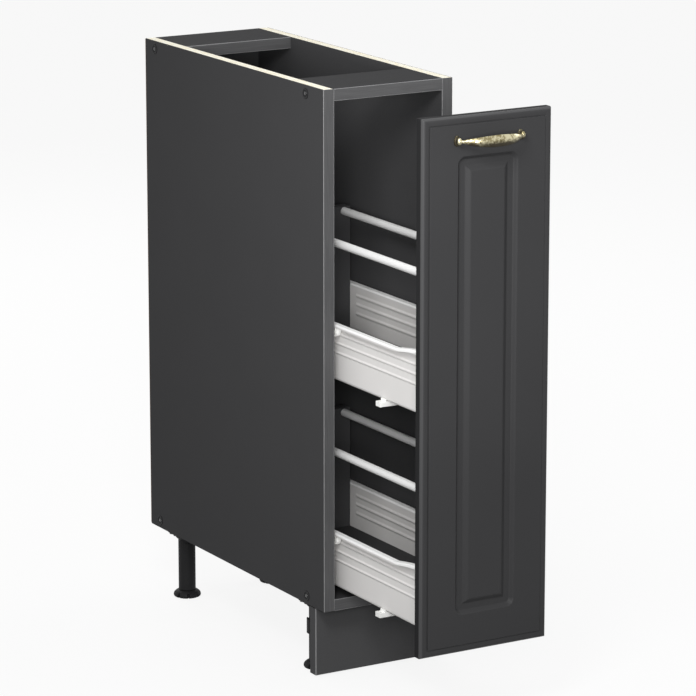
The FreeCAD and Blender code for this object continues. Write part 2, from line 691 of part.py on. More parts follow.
def rail(side, z):
    """Round tube from the door to the tray back."""
    base = V(side * RAIL_X, DOOR_BACK, z + RAIL_HEIGHT)
    tube = Part.makeCylinder(RAIL_D / 2, TRAY_LENGTH, base, V(0, 1, 0))
    return tube.cut(Part.makeCylinder(RAIL_D / 2 - RAIL_WALL, TRAY_LENGTH, base, V(0, 1, 0)))


def rail_spigots(z):
    """Screw-in plugs that hold the ends of the rails."""
    plug = RAIL_D / 2 - RAIL_WALL - SPIGOT_FIT
    profile = [
        (-WOOD_SCREW_LENGTH, WOOD_SCREW_D / 2),
        (0, WOOD_SCREW_D / 2),
        (0, plug),
        (SPIGOT_LENGTH, plug),
    ]
    plugs = []
    for side in SIDES.values():
        for y, direction in ((DOOR_BACK, 1), (TRAY_BACK, -1)):
            plugs.append(turned(profile, V(side * RAIL_X, y, z + RAIL_HEIGHT), V(0, direction, 0)))
    return plugs


def door(fasteners):
    """Milled front: a stepped and rounded edge, a sloping groove and a raised middle field."""
    ledge_y = DOOR_FRONT + DOOR_EDGE_STEP
    slab = box((-DOOR_HALF, DOOR_HALF), (ledge_y, DOOR_BACK), DOOR_Z)
    rim = [e for e in slab.Edges if all(abs(v.Y - ledge_y) < 1e-6 for v in e.Vertexes)]
    slab = slab.makeFillet(DOOR_EDGE_ROUND, rim)

    def inset(distance):
        return DOOR_HALF - distance, (DOOR_Z[0] + distance, DOOR_Z[1] - distance)

    half, z = inset(DOOR_EDGE_LEDGE)
    face = box((-half, half), (DOOR_FRONT, ledge_y), z)
    floor_y = DOOR_FRONT + DOOR_GROOVE_DEPTH
    mouth = rounded_rectangle(*inset(DOOR_FRAME), DOOR_FRONT, DOOR_GROOVE_CORNER)
    floor_inset = DOOR_FRAME + DOOR_GROOVE_SLOPE
    floor = rounded_rectangle(*inset(floor_inset), floor_y, DOOR_FLOOR_CORNER)
    pocket = Part.makeLoft([mouth, floor], True, True)
    field_base = floor_inset + DOOR_GROOVE_FLOOR
    field_top = field_base + DOOR_FIELD_SLOPE
    base = rectangle(*inset(field_base), floor_y)
    top = rectangle(*inset(field_top), DOOR_FRONT + DOOR_FIELD_DROP)
    field = Part.makeLoft([base, top], True, True)
    return drilled(slab.fuse(face).removeSplitter().cut(pocket).fuse(field), fasteners)


def handle_screws():
    """Machine screws from behind the door into the handle posts."""
    profile = [
        (-HANDLE_SCREW_HEAD, HANDLE_SCREW_HEAD_D / 2 - HANDLE_SCREW_CHAMFER),
        (-HANDLE_SCREW_HEAD + HANDLE_SCREW_CHAMFER, HANDLE_SCREW_HEAD_D / 2),
        (0, HANDLE_SCREW_HEAD_D / 2),
        (0, HANDLE_SCREW_D / 2),
        (DOOR_THICKNESS + HANDLE_SCREW_IN_POST, HANDLE_SCREW_D / 2),
    ]
    seats = [V(s * HANDLE_SPACING / 2, DOOR_BACK, HANDLE_Z) for s in SIDES.values()]
    return [turned(profile, seat, V(0, -1, 0)) for seat in seats]


def handle(fasteners):
    """Cast bow handle: two short turned posts and a leaf-shaped grip that bows out between them."""
    neck, bead = HANDLE_NECK_D / 2, HANDLE_BEAD_D / 2
    neck_start = HANDLE_ROSETTE_RIM + HANDLE_ROSETTE_SLOPE
    bead_start = neck_start + HANDLE_NECK
    profile = [
        (0, HANDLE_ROSETTE_D / 2),
        (HANDLE_ROSETTE_RIM, HANDLE_ROSETTE_D / 2),
        (neck_start, neck),
        (bead_start, neck),
        (bead_start + HANDLE_BEAD / 4, bead),
        (bead_start + HANDLE_BEAD * 3 / 4, bead),
        (bead_start + HANDLE_BEAD, HANDLE_BEAD_TIP_D / 2),
    ]
    half = HANDLE_SPACING / 2
    posts = [turned(profile, V(s * half, DOOR_FRONT, HANDLE_Z), V(0, -1, 0)) for s in SIDES.values()]
    wires = []
    for step in range(HANDLE_STATIONS):
        share = 2 * step / (HANDLE_STATIONS - 1) - 1
        swell = math.cos(share * math.pi / 2) ** 2
        tall = HANDLE_GRIP_END + (HANDLE_GRIP_HEIGHT - HANDLE_GRIP_END) * swell
        thick = HANDLE_GRIP_END_THICKNESS + (HANDLE_GRIP_THICKNESS - HANDLE_GRIP_END_THICKNESS) * swell
        bow = HANDLE_STANDOFF + HANDLE_BOW * (1 - abs(share) ** 3)
        centre = V(share * (half - bead / 3), DOOR_FRONT - bow, HANDLE_Z)
        ellipse = Part.Ellipse(centre + V(0, 0, tall / 2), centre + V(0, thick / 2, 0), centre)
        wires.append(Part.Wire([ellipse.toShape()]))
    grip = Part.makeLoft(wires, True, False)
    return drilled(grip.fuse(posts), fasteners)


def carcass_parts():
    """Every fixed piece of the carcass, its legs and its plinth, by node name."""
    connecting = confirmat_screws()
    nails = back_nails()
    into_legs = leg_screws()
    into_plinth = plinth_screws()
    into_sides = [s for side in SIDES.values() for z in TRAYS.values() for s in runner_screws(side, z)]
    shared = connecting + nails + into_legs + into_sides
    parts = {
        "confirmat_screws": connecting,
        "screw_caps": screw_caps(),
        "back_nails": nails,
        "leg_screws": into_legs,
        "plinth_screws": into_plinth,
        "runner_screws": into_sides,
        "side_edge_bands": side_edge_bands(),
        "cross_edge_bands": cross_edge_bands(),
        "back_sheet": [back_sheet(nails)],
        "plinth": [plinth(into_plinth)],
        "bottom_board": [cross_board((EDGE_BAND, REAR), (LEG_HEIGHT, LEG_HEIGHT + BOARD), shared)],
        "front_stretcher": [cross_board((EDGE_BAND, STRETCHER_DEPTH), (TOP - BOARD, TOP), shared)],
        "rear_stretcher": [
            cross_board((REAR - STRETCHER_DEPTH + EDGE_BAND, REAR), (TOP - BOARD, TOP), shared)
        ],
    }
    pins = []
    for name, side in SIDES.items():
        parts[f"{name}_side_board"] = [side_board(side, shared)]
        parts[f"{name}_plinth_clip"] = [plinth_clip(side, into_plinth)]
        for level, z in TRAYS.items():
            pin = front_roller_pin(side, z)
            pins.append(pin)
            parts[f"{level}_{name}_runner"] = [runner(side, z, into_sides + [pin])]
    parts["front_roller_pins"] = pins
    sockets = []
    for name, x, y in leg_places():
        sockets.append(leg_socket(x, y, into_legs))
        parts[f"{name}_leg_tube"] = [leg_tube(x, y)]
        parts[f"{name}_leg_foot"] = [leg_foot(x, y)]
    parts["leg_sockets"] = sockets
    return parts


def pull_out_parts():
    """Every piece that slides with the door, and the rollers, by node name."""
    parts = {}
    into_handle = handle_screws()
    spigots, into_door, brackets, rear_pins = [], [], [], []
    for level, z in TRAYS.items():
        level_screws = tray_screws(z)
        level_spigots = rail_spigots(z)
        level_bracket_screws = bracket_screws(z)
        parts[f"{level}_tray_screws"] = level_screws
        parts[f"{level}_tray_bottom"] = [tray_bottom(z, level_screws)]
        parts[f"{level}_tray_back"] = [tray_back(z, level_screws + level_spigots)]
        parts[f"{level}_bottom_bar"] = [bottom_bar(z)]
        for name, side in SIDES.items():
            pin = rear_roller_pin(side, z)
            rear_pins.append(pin)
            parts[f"{level}_{name}_tray_side"] = [tray_side(side, z, level_screws + [pin])]
            parts[f"{level}_{name}_rail"] = [rail(side, z)]
            brackets.append(front_bracket(side, z, level_bracket_screws))
        parts[f"{level}_front_rollers"] = [
            roller(s, FRONT_ROLLER_IN, FRONT_ROLLER_BACK, z + FRONT_ROLLER_Z, FRONT_ROLLER_D)
            for s in SIDES.values()
        ]
        parts[f"{level}_rear_rollers"] = [
            roller(s, REAR_ROLLER_IN, REAR_ROLLER_Y, z + CHANNEL_MID, REAR_ROLLER_D)
            for s in SIDES.values()
        ]
        spigots += level_spigots
        into_door += level_bracket_screws
    parts["rail_spigots"] = spigots
    parts["bracket_screws"] = into_door
    parts["front_brackets"] = brackets
    parts["rear_roller_pins"] = rear_pins
    parts["handle_screws"] = into_handle
    parts["handle"] = [handle(into_handle)]
    parts["door"] = [door(into_door + spigots + into_handle)]
    return parts


def write(parts):
    """Moves each node to the origin's frame and writes it as one STEP file."""
    os.makedirs("parts", exist_ok=True)
    for name, shapes in sorted(parts.items()):
        solids = [solid for shape in shapes for solid in shape.Solids]
        node = solids[0] if len(solids) == 1 else Part.makeCompound(solids)
        node.translate(V(0, CARCASS_FRONT_Y, 0))
        node.exportStep(f"parts/{name}.step")


write({**carcass_parts(), **pull_out_parts()})
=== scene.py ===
"""Looks of a narrow base cabinet whose front pulls out with two steel-sided trays."""

import math

import bmesh
import bpy
import numpy as np
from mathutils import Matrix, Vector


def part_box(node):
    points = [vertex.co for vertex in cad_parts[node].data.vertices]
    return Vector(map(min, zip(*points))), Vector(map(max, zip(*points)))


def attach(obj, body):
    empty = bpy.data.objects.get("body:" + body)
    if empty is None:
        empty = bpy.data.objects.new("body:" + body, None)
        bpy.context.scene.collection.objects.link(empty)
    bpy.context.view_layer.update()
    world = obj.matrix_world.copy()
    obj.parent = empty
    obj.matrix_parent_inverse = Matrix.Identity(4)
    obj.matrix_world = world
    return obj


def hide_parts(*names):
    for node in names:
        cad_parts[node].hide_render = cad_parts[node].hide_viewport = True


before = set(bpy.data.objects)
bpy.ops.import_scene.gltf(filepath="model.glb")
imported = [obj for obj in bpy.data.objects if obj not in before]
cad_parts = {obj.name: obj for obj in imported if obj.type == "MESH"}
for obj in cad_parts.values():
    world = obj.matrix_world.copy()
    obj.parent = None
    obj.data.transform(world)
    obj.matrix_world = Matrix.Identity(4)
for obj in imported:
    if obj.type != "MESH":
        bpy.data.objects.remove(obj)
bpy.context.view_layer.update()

# Side boards: two uprights of 16 mm chipboard, faced with dark melamine on both sides. They are only sawn
# to length, so the top, bottom and rear edges show raw pale chipboard between two dark skins.

MM = 0.001
SAME_POINT = 1e-6
BOARD_EDGE = 0.35
ROUND_STEPS = 4
SKIN_DEPTH = 1.2
SAWN_DEPTH = 0.12
GRAPHITE = (72, 72, 73)
GRAPHITE_DEEP = (64, 64, 65)
RAW_CHIP = (255, 253, 240)
RAW_CHIP_TAN = (253, 245, 222)
RAW_CHIP_SPECK = (240, 220, 184)
EDGE_HIGHLIGHT_GREY = (150, 150, 151)
EDGE_HIGHLIGHT_FROM, EDGE_HIGHLIGHT_FULL = 1.8, 0.7


def corners(node):
    """A CAD node's lowest and highest corner, in millimetres."""
    return [np.array(point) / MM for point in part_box(node)]


def round_cornered(half_x, half_y, inset, corner, steps):
    """Round-cornered rectangles, one a row: each is drawn in by its inset, and its corners are arcs."""
    quarter = np.linspace(0, math.pi / 2, steps)
    angles = (quarter + np.arange(4)[:, None] * math.pi / 2).ravel()
    sign_x = np.repeat([1, -1, -1, 1], steps)
    sign_y = np.repeat([1, 1, -1, -1], steps)
    inset, corner = np.asarray(inset, float)[:, None], np.asarray(corner, float)[:, None]
    x = sign_x * (half_x - inset - corner) + corner * np.cos(angles)
    y = sign_y * (half_y - inset - corner) + corner * np.sin(angles)
    return np.stack([x, y], axis=-1)


def stacked(outlines, heights):
    """Rings of points: each flat outline is laid at its own height."""
    upright = np.broadcast_to(heights[:, None, None], outlines.shape[:2] + (1,))
    return np.concatenate([outlines, upright], axis=-1)


def rounded_box(low, high, edge):
    """Rings up a box whose edges are rounded: near both ends a ring is drawn in by edge * (1 - sine)."""
    quarter = np.linspace(0, math.pi / 2, ROUND_STEPS)
    inset = edge * (1 - np.sin(quarter))
    rise = edge * (1 - np.cos(quarter))
    inset = np.concatenate([inset, inset[::-1]])
    heights = np.concatenate([low[2] + rise, high[2] - rise[::-1]])
    half = (high - low) / 2
    middle = (high + low)[:2] / 2
    return stacked(round_cornered(half[0], half[1], inset, edge - inset, ROUND_STEPS) + middle, heights)


def skin(name, grids, body, finish, nodes, crease=32):
    """Joins rings of points, given in millimetres, quad by quad into closed shells that replace CAD nodes.

    The first and last rings of a shell get a flat face, unless they meet each other or are a single point.
    """
    points, faces, start = [], [], 0
    for grid in grids:
        rings, around = grid.shape[:2]
        index = start + np.arange(rings * around).reshape(rings, around)
        beside = np.roll(index, -1, axis=1)
        quads = np.stack([index[:-1], beside[:-1], beside[1:], index[1:]], axis=-1)
        faces += quads.reshape(-1, 4).tolist()
        if not np.allclose(grid[0], grid[-1]):
            wide = [row for row in (0, -1) if np.ptp(grid[row], axis=0).max() > SAME_POINT]
            faces += [index[row].tolist() for row in wide]
        points.append(grid.reshape(-1, 3))
        start += rings * around
    mesh = bpy.data.meshes.new(name)
    mesh.from_pydata((np.concatenate(points) * MM).tolist(), [], faces)
    shell = bmesh.new()
    shell.from_mesh(mesh)
    bmesh.ops.remove_doubles(shell, verts=shell.verts, dist=SAME_POINT)
    bmesh.ops.recalc_face_normals(shell, faces=shell.faces)
    shell.to_mesh(mesh)
    shell.free()
    mesh.polygons.foreach_set("use_smooth", np.ones(len(mesh.polygons), bool))
    mesh.set_sharp_from_angle(angle=math.radians(crease))
    mesh.materials.append(finish)
    piece = bpy.data.objects.new(name, mesh)
    bpy.context.scene.collection.objects.link(piece)
    piece.modifiers.new("flat_faces_stay_flat", "WEIGHTED_NORMAL").keep_sharp = True
    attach(piece, body)
    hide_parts(*nodes)


def tint(colour):
    """A colour given by its screen values from 0 to 255, as the linear values that a shader takes."""
    screen = np.array(colour) / 255
    linear = np.where(screen <= 0.04045, screen / 12.92, ((screen + 0.055) / 1.055) ** 2.4)
    return (*linear.tolist(), 1.0)


class Shade:
    """One socket of a finish. Arithmetic on it adds Math nodes, and node() adds any other node."""

    def __init__(self, tree, socket=None):
        self.tree = tree
        self.socket = socket

    def node(self, kind, settings=None, inputs=None, output=0):
        """Adds a node: its settings first, then the values or links of its sockets. Gives one output."""
        made = self.tree.nodes.new("ShaderNode" + kind)
        for name, value in (settings or {}).items():
            setattr(made, name, value)
        for name, value in (inputs or {}).items():
            if isinstance(value, Shade):
                self.tree.links.new(value.socket, made.inputs[name])
            else:
                made.inputs[name].default_value = value
        return Shade(self.tree, made.outputs[output] if made.outputs else None)

    def math(self, operation, *values):
        """One Math node over these values."""
        return self.node("Math", {"operation": operation}, dict(enumerate(values)))

    def __add__(self, other):
        return self.math("ADD", self, other)

    __radd__ = __add__

    def __sub__(self, other):
        return self.math("SUBTRACT", self, other)

    def __rsub__(self, other):
        return self.math("SUBTRACT", other, self)

    def __mul__(self, other):
        return self.math("MULTIPLY", self, other)

    __rmul__ = __mul__

    def __gt__(self, other):
        return self.math("GREATER_THAN", self, other)

    def __lt__(self, other):
        return self.math("LESS_THAN", self, other)

    def size(self):
        """The value without its sign."""
        return self.math("ABSOLUTE", self)

    def between(self, low, high):
        """0 below low, 1 above high, and a smooth climb from one to the other."""
        settings = {"interpolation_type": "SMOOTHSTEP"}
        return self.node("MapRange", settings, {"Value": self, "From Min": low, "From Max": high})

    def blend(self, colour, other):
        """colour where this value is 0, other where it is 1."""
        return self.node("Mix", {"data_type": "RGBA"}, {0: self, 6: colour, 7: other}, output=2)

    def noise(self, scale, detail=2.0, roughness=0.5):
        """Cloudy noise over these coordinates, with scale clouds to the metre."""
        inputs = {"Vector": self, "Scale": scale, "Detail": detail, "Roughness": roughness}
        return self.node("TexNoise", None, inputs)

    def stretched(self, x, y, z):
        """These coordinates with each axis multiplied, so that a pattern on them runs along one of them."""
        return self.node("Mapping", None, {"Vector": self, "Scale": (x, y, z)})

    def axis(self, letter):
        """One coordinate of a place, in metres."""
        return self.node("SeparateXYZ", None, {0: self}, output=letter)

    def bump(self, depth):
        """A surface normal from this height, where 0 to 1 stands for depth in millimetres."""
        return self.node("Bump", None, {"Height": self, "Distance": depth * MM, "Strength": 1.0})


def new_finish(name, **constants):
    """An empty finish: its material, a function that feeds its shader, and the object's coordinates.

    Constants are set on the shader's own sockets, with underscores for the blanks in a socket's name.
    """
    material = bpy.data.materials.new(name)
    material.use_nodes = True
    tree = material.node_tree
    shader = tree.nodes["Principled BSDF"]
    for socket, value in constants.items():
        shader.inputs[socket.replace("_", " ")].default_value = value

    def feed(**shades):
        for socket, shade in shades.items():
            tree.links.new(shade.socket, shader.inputs[socket.replace("_", " ")])

    place = Shade(tree).node("TexCoord", output="Object")
    return material, feed, place


def melamine(name, pale=GRAPHITE, deep=GRAPHITE_DEEP, sawn=False, highlit_edge=None):
    """Dark melamine: broad clouds and fine flecks of a deeper grey under a pearled surface.

    Where a side board is sawn, flakes of pale chip show between both skins of its top, bottom and rear edge.
    A board with a highlit edge is given as its greatest x and its front y: a painted highlight, a pale
    line, lies where a face is near both.
    """
    material, feed, place = new_finish(name, Specular_IOR_Level=0.03)
    clouds = place.noise(9.0, 3.0)
    flecks = place.noise(900.0, 3.0, 0.65)
    pearl = place.noise(1500.0, 1.0)
    colour = (clouds * 0.35 + flecks.between(0.3, 0.75) * 0.55).blend(tint(pale), tint(deep))
    rough = 0.76 + flecks * 0.14
    height = pearl
    if sawn:
        low, high = corners("left_side_board")
        along = place.stretched(1, 0.4, 1)
        flakes = along.node("TexVoronoi", None, {"Vector": along, "Scale": 420.0}, output="Color")
        grey = flakes.axis("X")
        chip = grey.between(0.25, 0.85).blend(tint(RAW_CHIP), tint(RAW_CHIP_TAN))
        chip = place.noise(700.0, 3.0).between(0.6, 0.72).blend(chip, tint(RAW_CHIP_SPECK))
        x, y, z = place.axis("X").size(), place.axis("Y"), place.axis("Z")
        ends = (z > (high[2] - SAWN_DEPTH) * MM) + (z < (low[2] + SAWN_DEPTH) * MM)
        ends = ends + (y > (high[1] - SAWN_DEPTH) * MM)
        core = (x > (-high[0] + SKIN_DEPTH) * MM) * (x < (-low[0] - SKIN_DEPTH) * MM)
        raw = ends.between(0, 1) * core
        colour = raw.blend(colour, chip)
        rough = rough + raw * 0.08
        height = pearl + raw * grey * 1.5
    # Painted highlight: a pale line down the board's front corners.
    if highlit_edge:
        end, front = highlit_edge
        beside = place.axis("X").size().between((end - EDGE_HIGHLIGHT_FROM) * MM, (end - EDGE_HIGHLIGHT_FULL) * MM)
        ahead = place.axis("Y").between((front + EDGE_HIGHLIGHT_FROM) * MM, (front + EDGE_HIGHLIGHT_FULL) * MM)
        line = beside * ahead * (0.6 + flecks * 0.4)
        colour = line.blend(colour, tint(EDGE_HIGHLIGHT_GREY))
    feed(Base_Color=colour, Roughness=rough, Normal=height.bump(0.04))
    return material


graphite_sawn = melamine("graphite_sawn", sawn=True)
for side in ("left", "right"):
    node = f"{side}_side_board"
    shell = rounded_box(*corners(node), BOARD_EDGE)
    skin(f"{side}_side", [shell], "carcass", graphite_sawn, [node])

# Bottom board and two stretchers: the same dark board lies between the sides, screwed through them. The
# stretchers carry the worktop, and are narrow, so the bay between them stays open.

# Painted shade: the same board's grey is painted darker here, for boards whose faces lie flat towards the
# lamps.
SHADED_GRAPHITE = (61, 61, 62)
SHADED_GRAPHITE_DEEP = (54, 54, 55)

shaded_graphite = melamine("shaded_graphite", SHADED_GRAPHITE, SHADED_GRAPHITE_DEEP)
flat_boards = ("bottom_board", "front_stretcher", "rear_stretcher")
for node in flat_boards:
    shell = rounded_box(*corners(node), BOARD_EDGE)
    skin(f"{node}_faced", [shell], "carcass", shaded_graphite, [node])

# Edge bands: millimetre strips of plastic, glued on the front edges and trimmed with a small round. They
# are a little lighter and smoother than the board, and a pale line on both corners is a painted highlight.

BAND_EDGE = 0.9
BAND_GAP = 0.02
BAND_HALF = 8.05
BAND_GREY = (86, 86, 87)
BAND_GREY_DEEP = (78, 78, 79)
BAND_CORNER_HIGHLIGHT = (152, 152, 153)
CORNER_HIGHLIGHT_FROM, CORNER_HIGHLIGHT_FULL = 7.3, 7.7
STREAK_ALONG, STREAK_ACROSS = 0.15, 6


def banding(name, across, centre, spacing, run):
    """Plastic strip with faint streaks along its run, and a painted highlight as pale lines along both its
    corners.

    Two rows of strips lie at centre plus and minus spacing, so that two folds of the coordinate across them
    give the distance from the middle of the nearest strip.
    """
    material, feed, place = new_finish(name, Specular_IOR_Level=0.22)
    stretch = [STREAK_ALONG if letter == run else STREAK_ACROSS for letter in "XYZ"]
    streaks = place.stretched(*stretch).noise(160.0, 3.0)
    from_middle = ((place.axis(across) - centre * MM).size() - spacing * MM).size()
    # Painted highlight: a pale line along each corner of a strip.
    corner_highlight = from_middle.between(CORNER_HIGHLIGHT_FROM * MM, CORNER_HIGHLIGHT_FULL * MM) * (from_middle < BAND_HALF * MM)
    grey = streaks.between(0.3, 0.7).blend(tint(BAND_GREY), tint(BAND_GREY_DEEP))
    feed(
        Base_Color=corner_highlight.blend(grey, tint(BAND_CORNER_HIGHLIGHT)),
        Roughness=0.4 + place.noise(500.0) * 0.12,
        Normal=place.noise(1100.0, 1.0).bump(0.02),
    )
    return material


band_low, band_high = corners("side_edge_bands")
board_low, board_high = corners("left_side_board")
board = board_high[0] - board_low[0]
strips = []
for x in (board_low[0], -board_high[0]):
    low = np.array([x, band_low[1], band_low[2]])
    high = np.array([x + board, band_high[1] - BAND_GAP, band_high[2]])
    strips.append(rounded_box(low, high, BAND_EDGE))
band = banding("edge_band", "X", 0, board / 2 - board_high[0], run="Z")
skin("side_bands", strips, "carcass", band, ["side_edge_bands"])

strips = []
for node in flat_boards:
    low, high = corners(node)
    high[1] = low[1] - BAND_GAP
    low[1] -= band_high[1] - band_low[1]
    strips.append(rounded_box(low, high, BAND_EDGE))
cross_low, cross_high = corners("cross_edge_bands")
centre = (cross_low[2] + cross_high[2]) / 2
cross_band = banding("cross_edge_band", "Z", centre, cross_high[2] - board / 2 - centre, run="X")
skin("cross_bands", strips, "carcass", cross_band, ["cross_edge_bands"])

# Back: a 3 mm hardboard sheet, nailed over the rear with small zinc-plated nails. Its inner face is printed
# dark like the boards, and its outer face is left as brown pressed fibre.

BACK_EDGE = 0.3
FIBRE = (118, 88, 60)
FIBRE_DEEP = (88, 63, 42)
ZINC = (206, 206, 202)
ZINC_CLOUD = (168, 169, 168)
NAIL_HEAD = 2.0
NAILS_A_SIDE = 6
NAIL_PROFILE = [
    (0, 0), (0.02, 0.7), (0.08, 1.3), (0.25, 1.8), (0.5, NAIL_HEAD),
    (0.8, 1.95), (0.8, 0.8), (20, 0.8), (22, 0.1),
]

hardboard, feed_back, place = new_finish("hardboard")
back_low, back_high = corners("back_sheet")
fibres = place.stretched(1, 1, 0.35).noise(420.0, 4.0, 0.65)
fibre = fibres.between(0.3, 0.75).blend(tint(FIBRE), tint(FIBRE_DEEP))
printed = place.noise(900.0, 3.0, 0.65).between(0.3, 0.75).blend(tint(GRAPHITE), tint(GRAPHITE_DEEP))
outside = place.axis("Y") > (back_low[1] + BACK_EDGE) * MM
feed_back(
    Base_Color=outside.blend(printed, fibre),
    Roughness=0.5 + outside * 0.25 + fibres * 0.1,
    Normal=(fibres * outside).bump(0.1),
)
back_board = rounded_box(back_low, back_high, BACK_EDGE)
skin("back_board", [back_board], "carcass", hardboard, ["back_sheet"])

zinc, feed_zinc, place = new_finish("zinc_steel", Metallic=1.0)
clouds = place.noise(240.0, 3.0)
feed_zinc(
    Base_Color=clouds.between(0.3, 0.7).blend(tint(ZINC), tint(ZINC_CLOUD)),
    Roughness=0.28 + clouds * 0.16,
    Normal=place.noise(2600.0, 2.0).bump(0.01),
)


def direction(along):
    """The number and the sign of an axis that is given by its letter, with a minus for the way back."""
    return "xyz".index(along[-1]), -1 if along[0] == "-" else 1


def turned(profile, base, along, columns):
    """A surface of revolution: each (distance, radius) pair of the profile is a ring about an axis."""
    profile = np.asarray(profile, float)
    axis, ahead = direction(along)
    angles = np.arange(columns) * 2 * math.pi / columns
    grid = np.empty((len(profile), columns, 3))
    grid[..., axis] = base[axis] + ahead * profile[:, :1]
    grid[..., (axis + 1) % 3] = base[(axis + 1) % 3] + profile[:, 1:] * np.cos(angles)
    grid[..., (axis + 2) % 3] = base[(axis + 2) % 3] + profile[:, 1:] * np.sin(angles)
    return grid


nail_low, nail_high = corners("back_nails")
nails = [
    turned(NAIL_PROFILE, (x, nail_high[1], z), "-y", 20)
    for x in (nail_low[0] + NAIL_HEAD, nail_high[0] - NAIL_HEAD)
    for z in np.linspace(nail_low[2] + NAIL_HEAD, nail_high[2] - NAIL_HEAD, NAILS_A_SIDE)
]
skin("nails", nails, "carcass", zinc, ["back_nails"])

# Connecting screws and their caps: each carcass screw's head is hidden by a small dark plastic cap, pressed
# over it. The cap has a rounded rim, a dished ring and a small polished button in the middle.

CARCASS_HALF = 100
OUTWARD = {-1: "-x", 1: "x"}
CAP_RADIUS = 7.5
CAP_HEIGHT = 1.4
CAP_BUTTON = 2.7
CAP_SHOULDER = 1.5
CAP_RIM = 0.9
CAP_DISH = 0.6
CAP_GREY = (50, 50, 51)
CAP_GREY_DEEP = (42, 42, 43)
CAP_RIM_SHADE_GREY = (20, 20, 21)

cap_low, cap_high = corners("screw_caps")
cap_middle = (cap_low + cap_high) / 2
cap_spacing = (cap_high - cap_low) / 2 - CAP_RADIUS
cap_plastic, feed_cap, place = new_finish("grey_plastic", Specular_IOR_Level=0.06, Coat_Roughness=0.14)
off_y = (place.axis("Y") - cap_middle[1] * MM).size() - cap_spacing[1] * MM
off_z = (place.axis("Z") - cap_middle[2] * MM).size() - cap_spacing[2] * MM
squared = off_y * off_y + off_z * off_z
from_centre = squared.math("SQRT", squared)
button = 1 - from_centre.between((CAP_BUTTON - 0.1) * MM, (CAP_BUTTON + 0.1) * MM)
# Painted shade: a near-black ring where the cap's rim meets the board.
rim_shade = 1 - place.axis("X").size().between((CARCASS_HALF + 0.2) * MM, (CARCASS_HALF + CAP_RIM) * MM)
cap_grey = place.noise(700.0, 2.0).blend(tint(CAP_GREY), tint(CAP_GREY_DEEP))
feed_cap(
    Base_Color=(rim_shade * (1 - button)).blend(cap_grey, tint(CAP_RIM_SHADE_GREY)),
    Roughness=0.4 + place.noise(300.0) * 0.1,
    Coat_Weight=button,
    Normal=place.noise(1800.0, 1.0).bump(0.01),
)


def cap_profile():
    """Up the rim and over a round shoulder, down into a ring-shaped dish, and up over a domed button."""
    quarter = np.linspace(0, math.pi / 2, 7)
    swing = np.linspace(0, 1, 8)[1:]
    inner = CAP_RADIUS - CAP_SHOULDER
    floor = CAP_RIM - CAP_DISH
    shoulder = [CAP_RIM * np.sin(quarter), CAP_RADIUS - CAP_SHOULDER * (1 - np.cos(quarter))]
    dish = [CAP_RIM - CAP_DISH * np.sin(swing * math.pi / 2), inner - (inner - CAP_BUTTON) * swing]
    dome = [floor + (CAP_HEIGHT - floor) * np.sin(quarter[1:]), CAP_BUTTON * np.cos(quarter[1:])]
    return np.concatenate([[(0, CAP_RADIUS)], np.concatenate([shoulder, dish, dome], axis=1).T])


caps = [
    turned(cap_profile(), (side * CARCASS_HALF, y, z), OUTWARD[side], 40)
    for side in (-1, 1)
    for y in (cap_low[1] + CAP_RADIUS, cap_high[1] - CAP_RADIUS)
    for z in (cap_low[2] + CAP_RADIUS, cap_high[2] - CAP_RADIUS)
]
skin("caps", caps, "carcass", cap_plastic, ["screw_caps"])


def dress(finish, *nodes):
    """Gives CAD nodes that stay as they are a finish."""
    for node in nodes:
        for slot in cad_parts[node].material_slots:
            slot.material = finish


dress(zinc, "confirmat_screws")

# Legs: moulded black plastic. A plate with a collar is screwed under the board, a tube with a small catch
# is pushed up into the collar, and a notched foot screws into the tube to set the height.

LEG_BLACK = (37, 37, 38)
LEG_BLACK_DEEP = (30, 30, 31)
PLATE_HALF = (25, 20)
PLATE_CORNER = 10.0
PLATE_THICK = 4.0
LEG_SCREW_X, LEG_SCREW_Y = 21, 6
LEG_SCREW_LENGTH = 10
TUBE_RADIUS = 12.5
TUBE_BORE = 10.0
CATCH_HALF, CATCH_LENGTH = 3.0, 11
CATCH_ROUND = 0.7
CATCH_BELOW_MOUTH = 5
COLLAR = [
    (0, 12.6), (0, 13.4), (0.4, 14.2), (2.8, 16.6), (3.6, 17.2),
    (4.6, 17.5), (6.8, 17.7), (9, 19.2), (9, 12.6), (0, 12.6),
]
FOOT_RADIUS = 20.0
FOOT_PROFILE = [
    (0, 17.6), (0.25, 18.5), (0.8, 19.3), (1.6, 19.8), (2.8, FOOT_RADIUS),
    (4.2, 19.8), (5.6, 19.2), (7.0, 18.0), (8.2, 16.6), (9.2, 15.0),
    (9.8, 13.9), (10, 13.2), (10, 9.9), (64.4, 9.9), (65, 9.3),
]
NOTCHES = 8
NOTCH_DEPTH = 4.0
NOTCH_RING = 19.0
NOTCH_FLOOR, NOTCH_EDGE = 0.9, 1.7
NOTCH_FADES, NOTCH_ENDS = 6.0, 9.5
SHANK_RADIUS = 1.75
POINT_LENGTH, POINT_RADIUS = 3.5, 0.45
SCREW_HEAD, SCREW_CROWN = 3.5, 1.0
HEAD_ROWS = 10
CROSS_FLOOR, CROSS_EDGE = 0.35, 0.6
CROSS_FULL, CROSS_END = 1.5, 2.0

black, feed_black, place = new_finish("black_plastic", Specular_IOR_Level=0.1)
grain = place.noise(1300.0, 2.0)
feed_black(
    Base_Color=place.noise(60.0, 3.0).blend(tint(LEG_BLACK), tint(LEG_BLACK_DEEP)),
    Roughness=0.46 + grain * 0.16,
    Normal=grain.bump(0.03),
)


def ease(value, low, high):
    """0 below low, 1 above high, and a smooth climb between them."""
    share = np.clip((value - low) / (high - low), 0, 1)
    return share * share * (3 - 2 * share)


